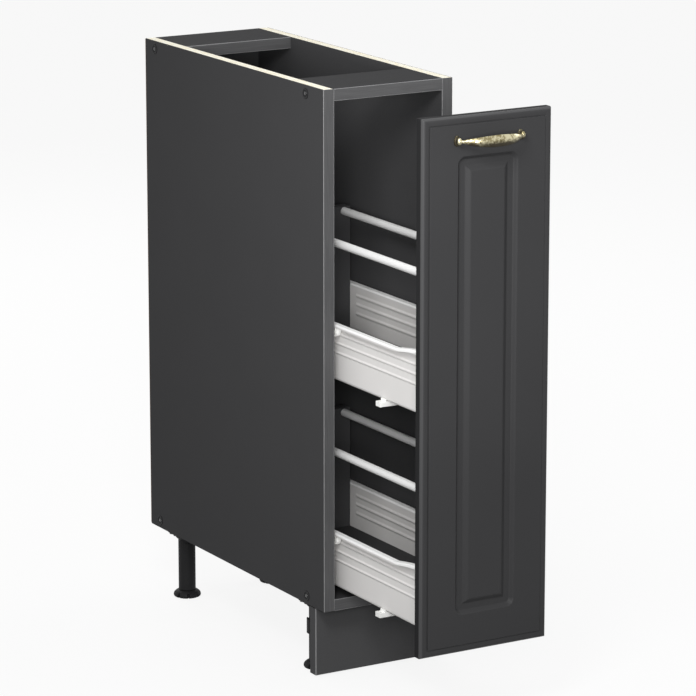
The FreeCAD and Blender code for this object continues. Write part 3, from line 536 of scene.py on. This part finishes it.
def pan_screw(seat, along, length, head=SCREW_HEAD, crown=SCREW_CROWN):
    """A cross-headed screw: rings over a domed head, out under its rim and down the shank to the tip.

    The recess is where a point of the head lies within a narrow band about either axis of the cross.
    """
    rim = np.linspace(0, 1, HEAD_ROWS)
    dome = np.stack([-crown * (1 - 0.75 * rim**3), head * rim], axis=-1)
    shank = [(0, head), (0, SHANK_RADIUS), (length - POINT_LENGTH, SHANK_RADIUS), (length, POINT_RADIUS)]
    grid = turned(np.concatenate([dome, shank]), (0, 0, 0), "z", 40)
    across = np.minimum(np.abs(grid[..., 0]), np.abs(grid[..., 1]))
    reach = np.hypot(grid[..., 0], grid[..., 1])
    recess = (1 - ease(across, CROSS_FLOOR, CROSS_EDGE)) * (1 - ease(reach, CROSS_FULL, CROSS_END))
    grid[:HEAD_ROWS, :, 2] += 0.7 * crown * recess[:HEAD_ROWS]
    axis, ahead = direction(along)
    grid[..., 2] *= ahead
    return np.roll(grid, axis + 1, axis=-1) + np.asarray(seat, float)


def leg_plate(x, y, base):
    """A round-cornered plate with a soft lower rim: each ring up it is drawn in less than the one below."""
    inset = np.array([2.4, 1.7, 0.5, 0.0, 0.0])
    heights = base + np.array([0.0, 0.2, 1.6, 2.8, PLATE_THICK])
    return stacked(round_cornered(*PLATE_HALF, inset, PLATE_CORNER - inset, 6) + np.array([x, y]), heights)


def leg_tube(x, y, low, high):
    """A tube from low to high with a bore, whose lower rim is rounded in three steps."""
    length = high - low
    profile = [
        (0, TUBE_BORE), (0, TUBE_RADIUS - 0.5), (0.5, TUBE_RADIUS - 0.1), (1.2, TUBE_RADIUS),
        (length, TUBE_RADIUS), (length, TUBE_BORE), (0, TUBE_BORE),
    ]
    return turned(profile, (x, y, low), "z", 64)


def catch(x, y, top):
    """A rounded tab on the tube, turned about the tube's axis so that it faces outwards and to the front."""
    low = np.array([TUBE_RADIUS - 1.0, -CATCH_HALF, top - CATCH_LENGTH])
    high = np.array([TUBE_RADIUS + 0.9, CATCH_HALF, top])
    tab = rounded_box(low, high, CATCH_ROUND)
    ahead = np.array([math.copysign(0.5, x), -math.sqrt(0.75)])
    aside = np.array([-ahead[1], ahead[0]])
    tab[..., :2] = tab[..., :1] * ahead + tab[..., 1:2] * aside + np.array([x, y])
    return tab


def leg_foot(x, y):
    """A turned foot with notches: near the middle of each of eight equal sectors, its radius is cut back.

    A cut is deepest on the sole and fades out towards the top of the pad.
    """
    foot = turned(FOOT_PROFILE, (0, 0, 0), "z", 192)
    sector = np.arctan2(foot[..., 1], foot[..., 0]) * NOTCHES / (2 * math.pi)
    off_notch = np.abs(sector % 1 - 0.5) * (2 * math.pi / NOTCHES) * NOTCH_RING
    low_down = 1 - ease(foot[..., 2], NOTCH_FADES, NOTCH_ENDS)
    depth = NOTCH_DEPTH * (1 - ease(off_notch, NOTCH_FLOOR, NOTCH_EDGE)) * low_down
    reach = np.hypot(foot[..., 0], foot[..., 1])
    cut = np.minimum(reach, FOOT_RADIUS - depth) / reach
    foot[..., :2] = foot[..., :2] * cut[..., None] + np.array([x, y])
    return foot


sockets, leg_screws = [], []
mouth, plate_top = (corner[2] for corner in corners("leg_sockets"))
plate_low = plate_top - PLATE_THICK
for leg in ("front_left", "front_right", "rear_left", "rear_right"):
    tube_node, foot_node = f"{leg}_leg_tube", f"{leg}_leg_foot"
    foot_low, foot_high = corners(foot_node)
    tube_low, tube_high = corners(tube_node)
    x, y = (foot_low + foot_high)[:2] / 2
    sockets += [leg_plate(x, y, plate_low), turned(COLLAR, (x, y, mouth), "z", 48)]
    leg_screws += [
        pan_screw((x + dx, y + dy, plate_low), "z", LEG_SCREW_LENGTH)
        for dx in (-LEG_SCREW_X, LEG_SCREW_X)
        for dy in (-LEG_SCREW_Y, LEG_SCREW_Y)
    ]
    tube = [leg_tube(x, y, tube_low[2], tube_high[2]), catch(x, y, mouth - CATCH_BELOW_MOUTH)]
    skin(f"{leg}_tube", tube, "carcass", black, [tube_node])
    skin(f"{leg}_foot", [leg_foot(x, y)], foot_node, black, [foot_node])
skin("sockets", sockets, "carcass", black, ["leg_sockets"])
skin("leg_fixings", leg_screws, "carcass", zinc, ["leg_screws"])

# Plinth: a board that closes the gap under the cabinet. Its grey is painted paler than the other boards, as
# painted light for the shade under the carcass. Two plastic clips are screwed to its back, and snap on to
# the tubes of the front legs.

PLINTH_EDGE = 0.6
# Painted light: paler than the carcass boards, against the shade under the cabinet.
PLINTH_LIT_GREY = (85, 85, 86)
PLINTH_LIT_GREY_DEEP = (77, 77, 78)
CLIP_X = 72
CLIP_SCREW = 15
SCREW_LENGTH = 12

plinth_low, plinth_high = corners("plinth")
plinth_highlit_edge = (plinth_high[0], plinth_low[1])
plinth_lit_grey = melamine("plinth_lit_grey", PLINTH_LIT_GREY, PLINTH_LIT_GREY_DEEP, highlit_edge=plinth_highlit_edge)
plinth = rounded_box(plinth_low, plinth_high, PLINTH_EDGE)
skin("plinth_board", [plinth], "carcass", plinth_lit_grey, ["plinth"])
screw_low, screw_high = corners("plinth_screws")
clip_z = (screw_low[2] + screw_high[2]) / 2
plinth_screws = [
    pan_screw((x + dx, screw_high[1] - SCREW_CROWN, clip_z), "-y", SCREW_LENGTH)
    for x in (-CLIP_X, CLIP_X)
    for dx in (-CLIP_SCREW, CLIP_SCREW)
]
skin("plinth_fixings", plinth_screws, "carcass", zinc, ["plinth_screws"])
dress(black, "left_plinth_clip", "right_plinth_clip")

# Runners: folded steel channels, powder-coated white and screwed to the inside of the carcass. At the front
# of each a nylon roller turns on a riveted pin, and carries the tray's top flange.

COAT_WHITE = (229, 227, 225)
COAT_WHITE_DEEP = (222, 220, 218)
FLANGE_HIGHLIGHT_WHITE = (253, 253, 252)
HIGHLIGHT_BLUR, HIGHLIGHT_REACH = 0.6, 12
NYLON = (250, 250, 248)
NYLON_DEEP = (243, 243, 240)
STEEL_ROUND = 0.3
RUNNER_WEB = 82.8
RUNNER_LINE = 9.2
RUNNER_SCREWS = (35, 259)
RUNNER_END_SCREW = 47
ROLLER_WIDTH = 6
ROLLER_BORE = 2.55


def powder_coat(name, pale, deep, highlight_heights=()):
    """Baked powder paint: broad clouds between two near whites, over the faint dimples of an orange peel.

    From each given height upwards, for a short reach, the paint is brighter: a painted highlight along the
    fold.
    """
    material, feed, place = new_finish(name, Specular_IOR_Level=0.4)
    peel = place.noise(620.0, 2.0)
    colour = place.noise(14.0, 2.0).blend(tint(pale), tint(deep))
    for height in highlight_heights:
        above = place.axis("Z") - height * MM
        # Painted highlight along the folded flange.
        thick = above.between(-HIGHLIGHT_BLUR * MM, HIGHLIGHT_BLUR * MM) * (above < HIGHLIGHT_REACH * MM)
        colour = thick.blend(colour, tint(FLANGE_HIGHLIGHT_WHITE))
    feed(Base_Color=colour, Roughness=0.34 + peel * 0.12, Normal=peel.bump(0.03))
    return material


def soften(node, width):
    """Small rounds along the sharp edges of a CAD node that stays as it is."""
    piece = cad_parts[node]
    piece.modifiers.new("joined", "WELD").merge_threshold = SAME_POINT
    edges = piece.modifiers.new("rounds", "BEVEL")
    edges.width = width * MM
    edges.segments = 2
    edges.limit_method = "ANGLE"
    edges.angle_limit = math.radians(40)
    piece.modifiers.new("flat_faces_stay_flat", "WEIGHTED_NORMAL").keep_sharp = True


levels = {level: corners(f"{level}_left_tray_side")[0][2] for level in ("lower", "upper")}
coat = powder_coat("white_steel", COAT_WHITE, COAT_WHITE_DEEP)
for level in levels:
    for side in ("left", "right"):
        dress(coat, f"{level}_{side}_runner")
        soften(f"{level}_{side}_runner", STEEL_ROUND)

runner_low, runner_high = corners("upper_left_runner")
channel_mid = runner_low[2] + RUNNER_LINE - levels["upper"]
screw_places = [runner_low[1] + y for y in RUNNER_SCREWS] + [runner_high[1] - RUNNER_END_SCREW]
runner_screws = [
    pan_screw((side * RUNNER_WEB, y, z + channel_mid), OUTWARD[side], SCREW_LENGTH)
    for side in (-1, 1)
    for z in levels.values()
    for y in screw_places
]
skin("runner_fixings", runner_screws, "carcass", zinc, ["runner_screws"])
dress(zinc, "front_roller_pins")

nylon, feed_nylon, place = new_finish("white_nylon", IOR=1.53)
feed_nylon(
    Base_Color=place.noise(120.0, 2.0).blend(tint(NYLON), tint(NYLON_DEEP)),
    Roughness=0.38 + place.noise(900.0) * 0.1,
    Normal=place.noise(1500.0, 1.0).bump(0.01),
)


def roller_wheels(low, high):
    """Two nylon wheels: a crowned tread, a groove turned into each face and a bore for the pin.

    The profile goes out along one face to the middle of the tread, and comes back as its mirror image.
    """
    middle = (low + high) / 2
    radius = (high[2] - low[2]) / 2
    face = np.array([
        (0, ROLLER_BORE), (0, 3.6), (0.6, 4.0), (0.6, radius - 2.4), (0, radius - 1.8), (0, radius - 0.8),
        (0.2, radius - 0.3), (0.7, radius - 0.05), (ROLLER_WIDTH / 2, radius),
    ])
    mirrored = face[-2::-1] * (-1, 1) + (ROLLER_WIDTH, 0)
    profile = np.concatenate([face, mirrored, face[:1]])
    ends = ((low[0], "x"), (high[0], "-x"))
    return [turned(profile, (start, middle[1], middle[2]), along, 48) for start, along in ends]


for level in levels:
    for row in ("front", "rear"):
        node = f"{level}_{row}_rollers"
        skin(f"{node}_turned", roller_wheels(*corners(node)), node, nylon, [node])

# Door: one milled fibreboard panel under a matt film that is drawn over its face and edges. The rim is
# rounded below a small step, and a groove with rounded outer corners frames a raised, mitred field.

DOOR_GREY = (59, 59, 60)
DOOR_GREY_DEEP = (53, 53, 54)
DOOR_EDGE_GREY = (34, 34, 35)
DOOR_RIM_HIGHLIGHT_GREY = (74, 74, 75)
RIM_FULL, RIM_END = 1.8, 3.4
EDGE_FROM, EDGE_FULL = 5.3, 6.4
DOOR_THICK = 16.0
GROOVE_DEPTH = 5.0
FIELD_DEPTH = 0.8
SWELL_STEPS = 12

film, feed_film, place = new_finish("door_film", Specular_IOR_Level=0.12)
door_low, door_high = corners("door")
door_middle, door_half = (door_low + door_high) / 2, (door_high - door_low) / 2
soft = place.noise(5.0, 2.0)
skin_grain = place.noise(1100.0, 3.0, 0.6)
face = (soft * 0.4 + skin_grain * 0.6).between(0.3, 0.75).blend(tint(DOOR_GREY), tint(DOOR_GREY_DEEP))
from_side = door_half[0] * MM - place.axis("X").size()
from_end = door_half[2] * MM - (place.axis("Z") - door_middle[2] * MM).size()
# Painted highlight: the film is paler on the rounded rim, within a few millimetres of the door's outline.
rim = 1 - from_side.math("MINIMUM", from_side, from_end).between(RIM_FULL * MM, RIM_END * MM)
edge = place.axis("Y").between((door_low[1] + EDGE_FROM) * MM, (door_low[1] + EDGE_FULL) * MM)
face = rim.blend(face, tint(DOOR_RIM_HIGHLIGHT_GREY))
feed_film(
    Base_Color=edge.blend(face, tint(DOOR_EDGE_GREY)),
    Roughness=0.42 + skin_grain * 0.12 - rim * 0.12 + edge * 0.5,
    Normal=skin_grain.bump(0.03),
)


def arc(start, end, bulge, steps):
    """Points of a quarter ellipse from start to end. It leaves along the first axis where bulge is true."""
    turn = np.linspace(0, math.pi / 2, steps)
    first, second = (np.sin(turn), 1 - np.cos(turn)) if bulge else (1 - np.cos(turn), np.sin(turn))
    start, end = np.asarray(start, float), np.asarray(end, float)
    return start + (end - start) * np.stack([first, second], axis=-1)


def swell(start, end):
    """Points of a shallow S from start to end: half a straight slope and half a smooth step."""
    share = np.linspace(0, 1, SWELL_STEPS)
    depth = 0.55 * share + 0.45 * ease(share, 0, 1)
    start, end = np.asarray(start, float), np.asarray(end, float)
    return start + (end - start) * np.stack([share, depth], axis=-1)


# From the back edge over the rim and its step to the frame's face, down into the groove and up to the field:
# how far each ring is drawn in, and how deep it lies.
door_profile = np.concatenate([
    [(0.5, DOOR_THICK)],
    arc((0.3, DOOR_THICK), (0, DOOR_THICK - 0.3), False, 4),
    arc((0, 6.5), (5, 1.0), False, 10),
    arc((5.4, 1.0), (10.4, 1.8), True, 8),
    [(10.8, 1.8)],
    arc((11, 0.5), (11.6, 0), False, 5),
    [(12.0, 0), (51.5, 0)],
    arc((52.0, 0), (52.6, 0.4), True, 5),
    swell((52.8, 0.7), (57.0, GROOVE_DEPTH - 0.3)),
    arc((57.2, GROOVE_DEPTH - 0.2), (58.0, GROOVE_DEPTH), False, 4),
    [(65.0, GROOVE_DEPTH)],
    swell((65.4, GROOVE_DEPTH), (72.8, FIELD_DEPTH + 0.1)),
    [(73.2, FIELD_DEPTH), (73.8, FIELD_DEPTH)],
])
inset, depth = door_profile.T
corner = np.interp(inset, [0, 12, 51.6, 57.5, 65.2, 80], [0.8, 0.4, 12, 6.5, 0.3, 0.3])
rings = stacked(round_cornered(door_half[0], door_half[2], inset, corner, 10), door_low[1] + depth)
panel = rings[..., [0, 2, 1]] + np.array([0, 0, door_middle[2]])
skin("door_front", [panel], "pull_out", film, ["door"], crease=40)

# Handle: a cast bow handle in aged brass. Each end is a short domed post on a small rosette, a leaf-shaped
# grip bows out between them, and machine screws from behind the door hold it.

BRASS = (212, 205, 172)
BRASS_STAINED = (148, 137, 100)
BRASS_DARK = (54, 48, 34)
HANDLE_HALF = 48.0
POST_REACH = 10.0
POST_MIDDLE = 6.2
POST_RADIUS = 5.5
POST_NARROWING = 0.62
GRIP_HALF = 46.3
GRIP_STANDOFF = 7.0
GRIP_BOW = 18.0
GRIP_HEIGHT, GRIP_END_HEIGHT = 15.4, 4.6
GRIP_THICK, GRIP_END_THICK = 8.0, 3.6
NECK_FROM_DOOR = 2.6
UNDERSIDE_SHADE_FROM, UNDERSIDE_SHADE_FULL = 6.2, -6.6
MACHINE_SCREW = {"length": 23, "head": 4.0, "crown": 2.3}

handle_low, handle_high = corners("handle")
face_y, handle_z = door_low[1], (handle_low[2] + handle_high[2]) / 2

brass, feed_brass, place = new_finish("antique_brass")
tarnish = place.noise(260.0, 5.0, 0.7)
rubbed = place.noise(70.0, 3.0)
from_door = (face_y * MM - place.axis("Y")) * (1 / MM)
crevice = 1 - (from_door - NECK_FROM_DOOR).size().between(1.4, 3.0)
# Painted shade: the grip darkens towards its underside.
under = (place.axis("Z") - handle_z * MM).between(UNDERSIDE_SHADE_FROM * MM, UNDERSIDE_SHADE_FULL * MM)
# Dark brass: real tarnish, rubbing and patina in the hollow by the door, together with the painted underside
# shade.
dark = (tarnish * 0.5 + rubbed * 0.4 + crevice * 0.3 + under * 0.42).between(0.48, 0.84)
stain = (tarnish * 0.6 + rubbed * 0.5).between(0.5, 0.62)
bright = stain.blend(tint(BRASS), tint(BRASS_STAINED))
feed_brass(
    Base_Color=dark.blend(bright, tint(BRASS_DARK)),
    Metallic=1.0 - dark * 0.3,
    Roughness=0.2 + dark * 0.26 + tarnish * 0.08,
    Normal=tarnish.bump(0.18),
)

dome_turn = np.linspace(-0.65, math.pi / 2, 16)
dome = [POST_MIDDLE + (POST_REACH - POST_MIDDLE) * np.sin(dome_turn), POST_RADIUS * np.cos(dome_turn)]
post_profile = np.concatenate([
    [(0, 0), (0, 6.9)],
    arc((0.3, 7.2), (1.7, 6.3), True, 7),
    arc((1.9, 6.1), (3.2, 4.2), False, 6),
    np.stack(dome, axis=-1),
])
posts = []
for side in (-1, 1):
    post = turned(post_profile, (0, face_y, handle_z), "-y", 40)
    post[..., 0] = side * HANDLE_HALF + POST_NARROWING * post[..., 0]
    posts.append(post)


def bow_grip(stations=97, columns=56):
    """A leaf section carried along a bow: its distance from the door falls with the cube of its place.

    The section is a lens with a soft ridge along its front, set square to the bow. Its height swells with
    the square root of the cosine of the place along the bow, and its thickness with the cosine squared.
    Shallow hollows run along the leaf on both sides of the ridge.
    """
    share = np.sin(np.linspace(-math.pi / 2, math.pi / 2, stations))[:, None]
    turn = np.arange(columns)[None, :] * 2 * math.pi / columns
    full = np.cos(share * math.pi / 2) ** 2
    tall = np.maximum(GRIP_HEIGHT * np.sqrt(np.cos(share * math.pi / 2)), GRIP_END_HEIGHT)
    thick = GRIP_END_THICK + (GRIP_THICK - GRIP_END_THICK) * full
    slope = -3 * GRIP_BOW / GRIP_HALF * share * np.abs(share)
    lean = 1 / np.hypot(1, slope)
    ridge = np.sign(np.cos(turn)) * np.abs(np.cos(turn)) ** 1.25
    hollow = 1 - 0.1 * full * np.sin(2 * turn) ** 2 * (1 + 0.5 * np.cos(share * 17))
    outward = thick / 2 * ridge * hollow
    x = share * GRIP_HALF - slope * lean * outward
    y = face_y - GRIP_STANDOFF - GRIP_BOW * (1 - np.abs(share) ** 3) - lean * outward
    z = handle_z + tall / 2 * np.sin(turn) * hollow
    return np.stack(np.broadcast_arrays(x, y, z), axis=-1)


skin("bow_handle", posts + [bow_grip()], "pull_out", brass, ["handle"], crease=50)
handle_screws = [
    pan_screw((side * HANDLE_HALF, door_high[1], handle_z), "-y", **MACHINE_SCREW)
    for side in (-1, 1)
]
skin("handle_fixings", handle_screws, "pull_out", zinc, ["handle_screws"])

# Trays: each has a dark board as its bottom and a tall one as its back, held between folded steel sides.
# Three ribs stand out on both skins of a side, and its top edge is folded out into the flange that runs on
# the roller.

STEEL = 1.2
WALL_IN = 69
FLANGE_TOP = 81
FLANGE_OUT = 79.2
LIP_END = 76.5
FOOT_IN = 52
BEND_RADII = (1.4, 1.6, 3.8)
BEND_STEPS = 7
RIB_HALF = 3.6
RIB_RISE = 1.5
RIB_HEIGHTS = np.array([66.0, 53.0, 40.0])
RIB_FROM_FRONT, RIB_FROM_END = 26, 31
OUTER_RIB_HALF = 2.8
OUTER_RIB_RISE = 1.1
OUTER_RIB_DROP = 0.4
NOSE_LENGTH = 84.0
NOSE_CLIMB = 54.0
NOSE_RISE = 7.5
NOSE_FROM, NOSE_FULL = 70.5, 76.5
HIGHLIGHT_FOLD = 78.5
INWARD = {-1: "x", 1: "-x"}
FLOOR_SCREW_X = 60.5
FLOOR_SCREW_FRONT, FLOOR_SCREW_BACK = 60, 50
BACK_SCREW_Y = 8
BACK_SCREW_DROPS = (18, 35)

graphite = melamine("graphite")
for level in levels:
    for part in ("tray_bottom", "tray_back"):
        node = f"{level}_{part}"
        shell = rounded_box(*corners(node), BOARD_EDGE)
        skin(f"{node}_faced", [shell], "pull_out", graphite, [node])


def bent(points, radii):
    """A line through points whose corners are arcs of the given radii: each arc touches both neighbours."""
    points = [np.asarray(point, float) for point in points]
    turn = np.linspace(0, math.pi / 2, BEND_STEPS)[:, None]
    path = [points[:1]]
    for before, here, after, radius in zip(points, points[1:], points[2:], radii):
        back = (before - here) / np.linalg.norm(before - here)
        on = (after - here) / np.linalg.norm(after - here)
        centre = here + radius * (back + on)
        path.append(centre - radius * on * np.cos(turn) - radius * back * np.sin(turn))
    return np.concatenate(path + [points[-1:]])


def tray_side(side, base, front, end):
    """A folded sheet: its middle line, bent in section, is carried along the tray and given its thickness.

    A rib swells each face by a squared cosine of the distance from the rib's middle line. Towards the door
    the flange climbs from a kink, by a mean of a straight line and a quarter sine.
    """
    half = STEEL / 2
    wall, flange, lip = WALL_IN + half, FLANGE_TOP - half, FLANGE_OUT - half
    line = bent([(lip, LIP_END), (lip, flange), (wall, flange), (wall, half), (FOOT_IN, half)], BEND_RADII)
    heights = np.concatenate([[76, 74, 72], np.linspace(70.5, 35.5, 57), [32, 24, 16, 8]])
    upright = np.stack([np.full_like(heights, wall), heights], axis=-1)
    upper = 1 + 2 * BEND_STEPS
    line = np.concatenate([line[:upper], upright, line[upper:]])
    rib_front, rib_end = front + RIB_FROM_FRONT + RIB_HALF, end - RIB_FROM_END - RIB_HALF
    stations = np.unique(np.concatenate([
        [front, front + 8],
        np.linspace(rib_front - RIB_HALF, rib_front, 9),
        np.linspace(front + 2, front + NOSE_LENGTH + 4, 30),
        np.linspace(front + NOSE_LENGTH + 6, rib_end, 9),
        np.linspace(rib_end, rib_end + RIB_HALF, 9),
        [end - 8, end],
    ]))[:, None]
    x, z = line[:, 0][None, :], line[:, 1][None, :]
    beyond = np.maximum(np.maximum(rib_front - stations, stations - rib_end), 0)

    def ribs(heights, half_width, rise):
        reach = np.hypot(z[..., None] - heights, beyond[..., None])
        return rise * (np.cos(np.clip(reach / half_width, 0, 1) * math.pi / 2) ** 2).sum(axis=-1)

    inner = ribs(RIB_HEIGHTS, RIB_HALF, RIB_RISE)
    outer = ribs(RIB_HEIGHTS - OUTER_RIB_DROP, OUTER_RIB_HALF, OUTER_RIB_RISE)
    climb = np.clip((front + NOSE_LENGTH - stations) / NOSE_CLIMB, 0, 1)
    lift = NOSE_RISE * (climb + np.sin(climb * math.pi / 2)) / 2
    z = z + lift * ease(z, NOSE_FROM, NOSE_FULL)
    slope_x, slope_z = np.gradient(x, axis=1), np.gradient(z, axis=1)
    length = np.hypot(slope_x, slope_z)
    out_x, out_z = -slope_z / length * half, slope_x / length * half
    across = np.concatenate([x + out_x + outer, (x - out_x - inner)[:, ::-1]], axis=1)
    up = np.concatenate([z + out_z, (z - out_z)[:, ::-1]], axis=1)
    return np.stack(np.broadcast_arrays(side * across, stations, base + up), axis=-1)


tray_low, tray_high = corners("upper_right_tray_side")
# The tray sides get a painted highlight along the top flange, from this height upwards.
tray_highlight_heights = [base + HIGHLIGHT_FOLD for base in levels.values()]
side_coat = powder_coat("tray_steel", COAT_WHITE, COAT_WHITE_DEEP, tray_highlight_heights)
for level, base in levels.items():
    for name, side in (("left", -1), ("right", 1)):
        node = f"{level}_{name}_tray_side"
        sheet = tray_side(side, base, tray_low[1], tray_high[1])
        skin(f"{node}_folded", [sheet], "pull_out", side_coat, [node])
    back_y = corners(f"{level}_tray_back")[0][1]
    first, last = tray_low[1] + FLOOR_SCREW_FRONT, back_y - FLOOR_SCREW_BACK
    fixings = [
        pan_screw((side * FLOOR_SCREW_X, y, base), "z", SCREW_LENGTH)
        for side in (-1, 1)
        for y in (first, (first + last) / 2, last)
    ]
    wall_out, screw_y = WALL_IN + STEEL, back_y + BACK_SCREW_Y
    fixings += [
        pan_screw((side * wall_out, screw_y, base + channel_mid - drop), INWARD[side], SCREW_LENGTH)
        for side in (-1, 1)
        for drop in BACK_SCREW_DROPS
    ]
    skin(f"{level}_tray_fixings", fixings, "pull_out", zinc, [f"{level}_tray_screws"])

# Front brackets and cross bars: painted steel angles hold each tray to the door, and a plastic channel with
# hooked ends stiffens the tray's bottom from below.

BRACKET_X = 57.5
BRACKET_STEEL = 1.5
BRACKET_SCREWS = (30.2, 60.2)
BAR_ROUND = 0.5

dress(coat, "front_brackets")
soften("front_brackets", STEEL_ROUND)
bracket_screws = [
    pan_screw((side * BRACKET_X, door_high[1] + BRACKET_STEEL, base + height), "-y", SCREW_LENGTH)
    for base in levels.values()
    for side in (-1, 1)
    for height in BRACKET_SCREWS
]
skin("bracket_fixings", bracket_screws, "pull_out", zinc, ["bracket_screws"])
for level in levels:
    dress(nylon, f"{level}_bottom_bar")
    soften(f"{level}_bottom_bar", BAR_ROUND)
dress(zinc, "rear_roller_pins")

# Rails: round steel tubes, powder-coated white, which keep tall goods in the tray. A screwed-in plug at
# each end holds a rail between the door and the tray's back board.

RAIL_WHITE = (231, 231, 230)
RAIL_WHITE_DEEP = (225, 225, 224)
RAIL_WALL = 1.0
RAIL_ROUND = 0.3

bright_coat = powder_coat("bright_white_steel", RAIL_WHITE, RAIL_WHITE_DEEP)
for level in levels:
    for name in ("left", "right"):
        node = f"{level}_{name}_rail"
        low, high = corners(node)
        middle = (low + high) / 2
        radius, length = (high[2] - low[2]) / 2, high[1] - low[1]
        bore = radius - RAIL_WALL
        rail_profile = [
            (0, bore), (0, radius - RAIL_ROUND), (RAIL_ROUND, radius), (length - RAIL_ROUND, radius),
            (length, radius - RAIL_ROUND), (length, bore), (0, bore),
        ]
        tube = turned(rail_profile, (middle[0], low[1], middle[2]), "y", 48)
        skin(f"{node}_tube", [tube], "pull_out", bright_coat, [node])
dress(zinc, "rail_spigots")

# Studio: a wide pale floor, which keeps the cabinet's soft shadow, and a white surround. Square lamps stand
# to the left and in front, as in the photograph, and two broad ones fill in from the right and from behind.

WHITE = (1, 1, 1, 1)
FLOOR_REACH = 60.0
FLOOR_PALE = (0.9, 0.9, 0.9, 1)
FLOOR_BOUNCE = (0.16, 0.16, 0.16, 1)
FLOOR_GLOW = 0.86
SKY_LIGHT = 0.6

scene = bpy.context.scene
scene.view_settings.view_transform = "Standard"


def seen_rays(tree):
    """1 for what the camera sees, straight, mirrored or through glass, and 0 for light on things."""
    outputs = [f"Is {kind} Ray" for kind in ("Camera", "Glossy", "Transmission")]
    straight, mirrored, through = [Shade(tree).node("LightPath", output=output) for output in outputs]
    return (straight + mirrored + through).between(0, 1)


floor_mesh = bpy.data.meshes.new("floor")
floor_corners = [(x * FLOOR_REACH, y * FLOOR_REACH, 0) for x, y in ((-1, -1), (1, -1), (1, 1), (-1, 1))]
floor_mesh.from_pydata(floor_corners, [], [(0, 1, 2, 3)])
floor = bpy.data.objects.new("floor", floor_mesh)
scene.collection.objects.link(floor)
floor_paint = bpy.data.materials.new("pale_floor")
floor_paint.use_nodes = True
tree = floor_paint.node_tree
tree.nodes.clear()
seen = seen_rays(tree)
paint = seen.node("BsdfDiffuse", None, {"Color": seen.blend(FLOOR_BOUNCE, FLOOR_PALE)})
white = seen.node("Emission", None, {"Color": WHITE, "Strength": 1.0})
mixed = seen.node("MixShader", None, {0: seen * FLOOR_GLOW, 1: paint, 2: white})
seen.node("OutputMaterial", None, {"Surface": mixed})
floor_mesh.materials.append(floor_paint)

world = bpy.data.worlds.new("studio")
scene.world = world
world.use_nodes = True
tree = world.node_tree
tree.nodes.clear()
seen = seen_rays(tree)
strength = SKY_LIGHT + seen * (1 - SKY_LIGHT)
sky = seen.node("Background", None, {"Color": WHITE, "Strength": strength})
seen.node("OutputWorld", None, {"Surface": sky})


def soft_box(name, location, target, size, watts, spread=180):
    """A square lamp at location that faces target, with a beam that is spread degrees wide."""
    data = bpy.data.lights.new(name, "AREA")
    data.size = size
    data.energy = watts
    data.spread = math.radians(spread)
    lamp = bpy.data.objects.new(name, data)
    lamp.location = location
    aim = np.subtract(target, location)
    tilt = math.acos(-aim[2] / np.linalg.norm(aim))
    lamp.rotation_euler = (tilt, 0, math.atan2(aim[1], aim[0]) - math.pi / 2)
    scene.collection.objects.link(lamp)


soft_box("key", (-1.0, -1.15, 1.6), (0, -0.3, 0.8), size=0.5, watts=5.5, spread=110)
soft_box("front", (-1.34, -2.26, 1.06), (0, -0.1, 0.76), size=0.6, watts=4.2, spread=56)
soft_box("fill", (2.8, 0.3, 1.5), (0, 0.1, 0.5), size=1.6, watts=15)
soft_box("rear", (0.6, 2.8, 2.0), (0, 0, 0.4), size=1.6, watts=20)

# Camera: at the photograph's viewing angle, from the left and a little above. Its turn, tilt, distance and
# focal length were solved from the corners of the carcass and the door.

CAMERA_TURN, CAMERA_TILT = -0.531, 0.237
CAMERA_DISTANCE = 5174.7
AIM_HEIGHT = 460
AIM_LEFT, AIM_DOWN = 54.0, 1.52
FOCAL_PIXELS, IMAGE_PIXELS = 3829, 696
SENSOR = 36.0

back = np.array([
    math.sin(CAMERA_TURN) * math.cos(CAMERA_TILT),
    -math.cos(CAMERA_TURN) * math.cos(CAMERA_TILT),
    math.sin(CAMERA_TILT),
])
right = np.array([math.cos(CAMERA_TURN), math.sin(CAMERA_TURN), 0])
up = np.cross(back, right)
aim = np.array([0, band_low[1], AIM_HEIGHT]) - AIM_LEFT * right - AIM_DOWN * up
lens = bpy.data.cameras.new("camera")
lens.sensor_width = SENSOR
lens.lens = FOCAL_PIXELS / IMAGE_PIXELS * SENSOR
lens.clip_end = 200
camera = bpy.data.objects.new("camera", lens)
camera.location = (aim + CAMERA_DISTANCE * back) * MM
camera.rotation_euler = (math.pi / 2 - CAMERA_TILT, 0, CAMERA_TURN)
scene.collection.objects.link(camera)
scene.camera = camera
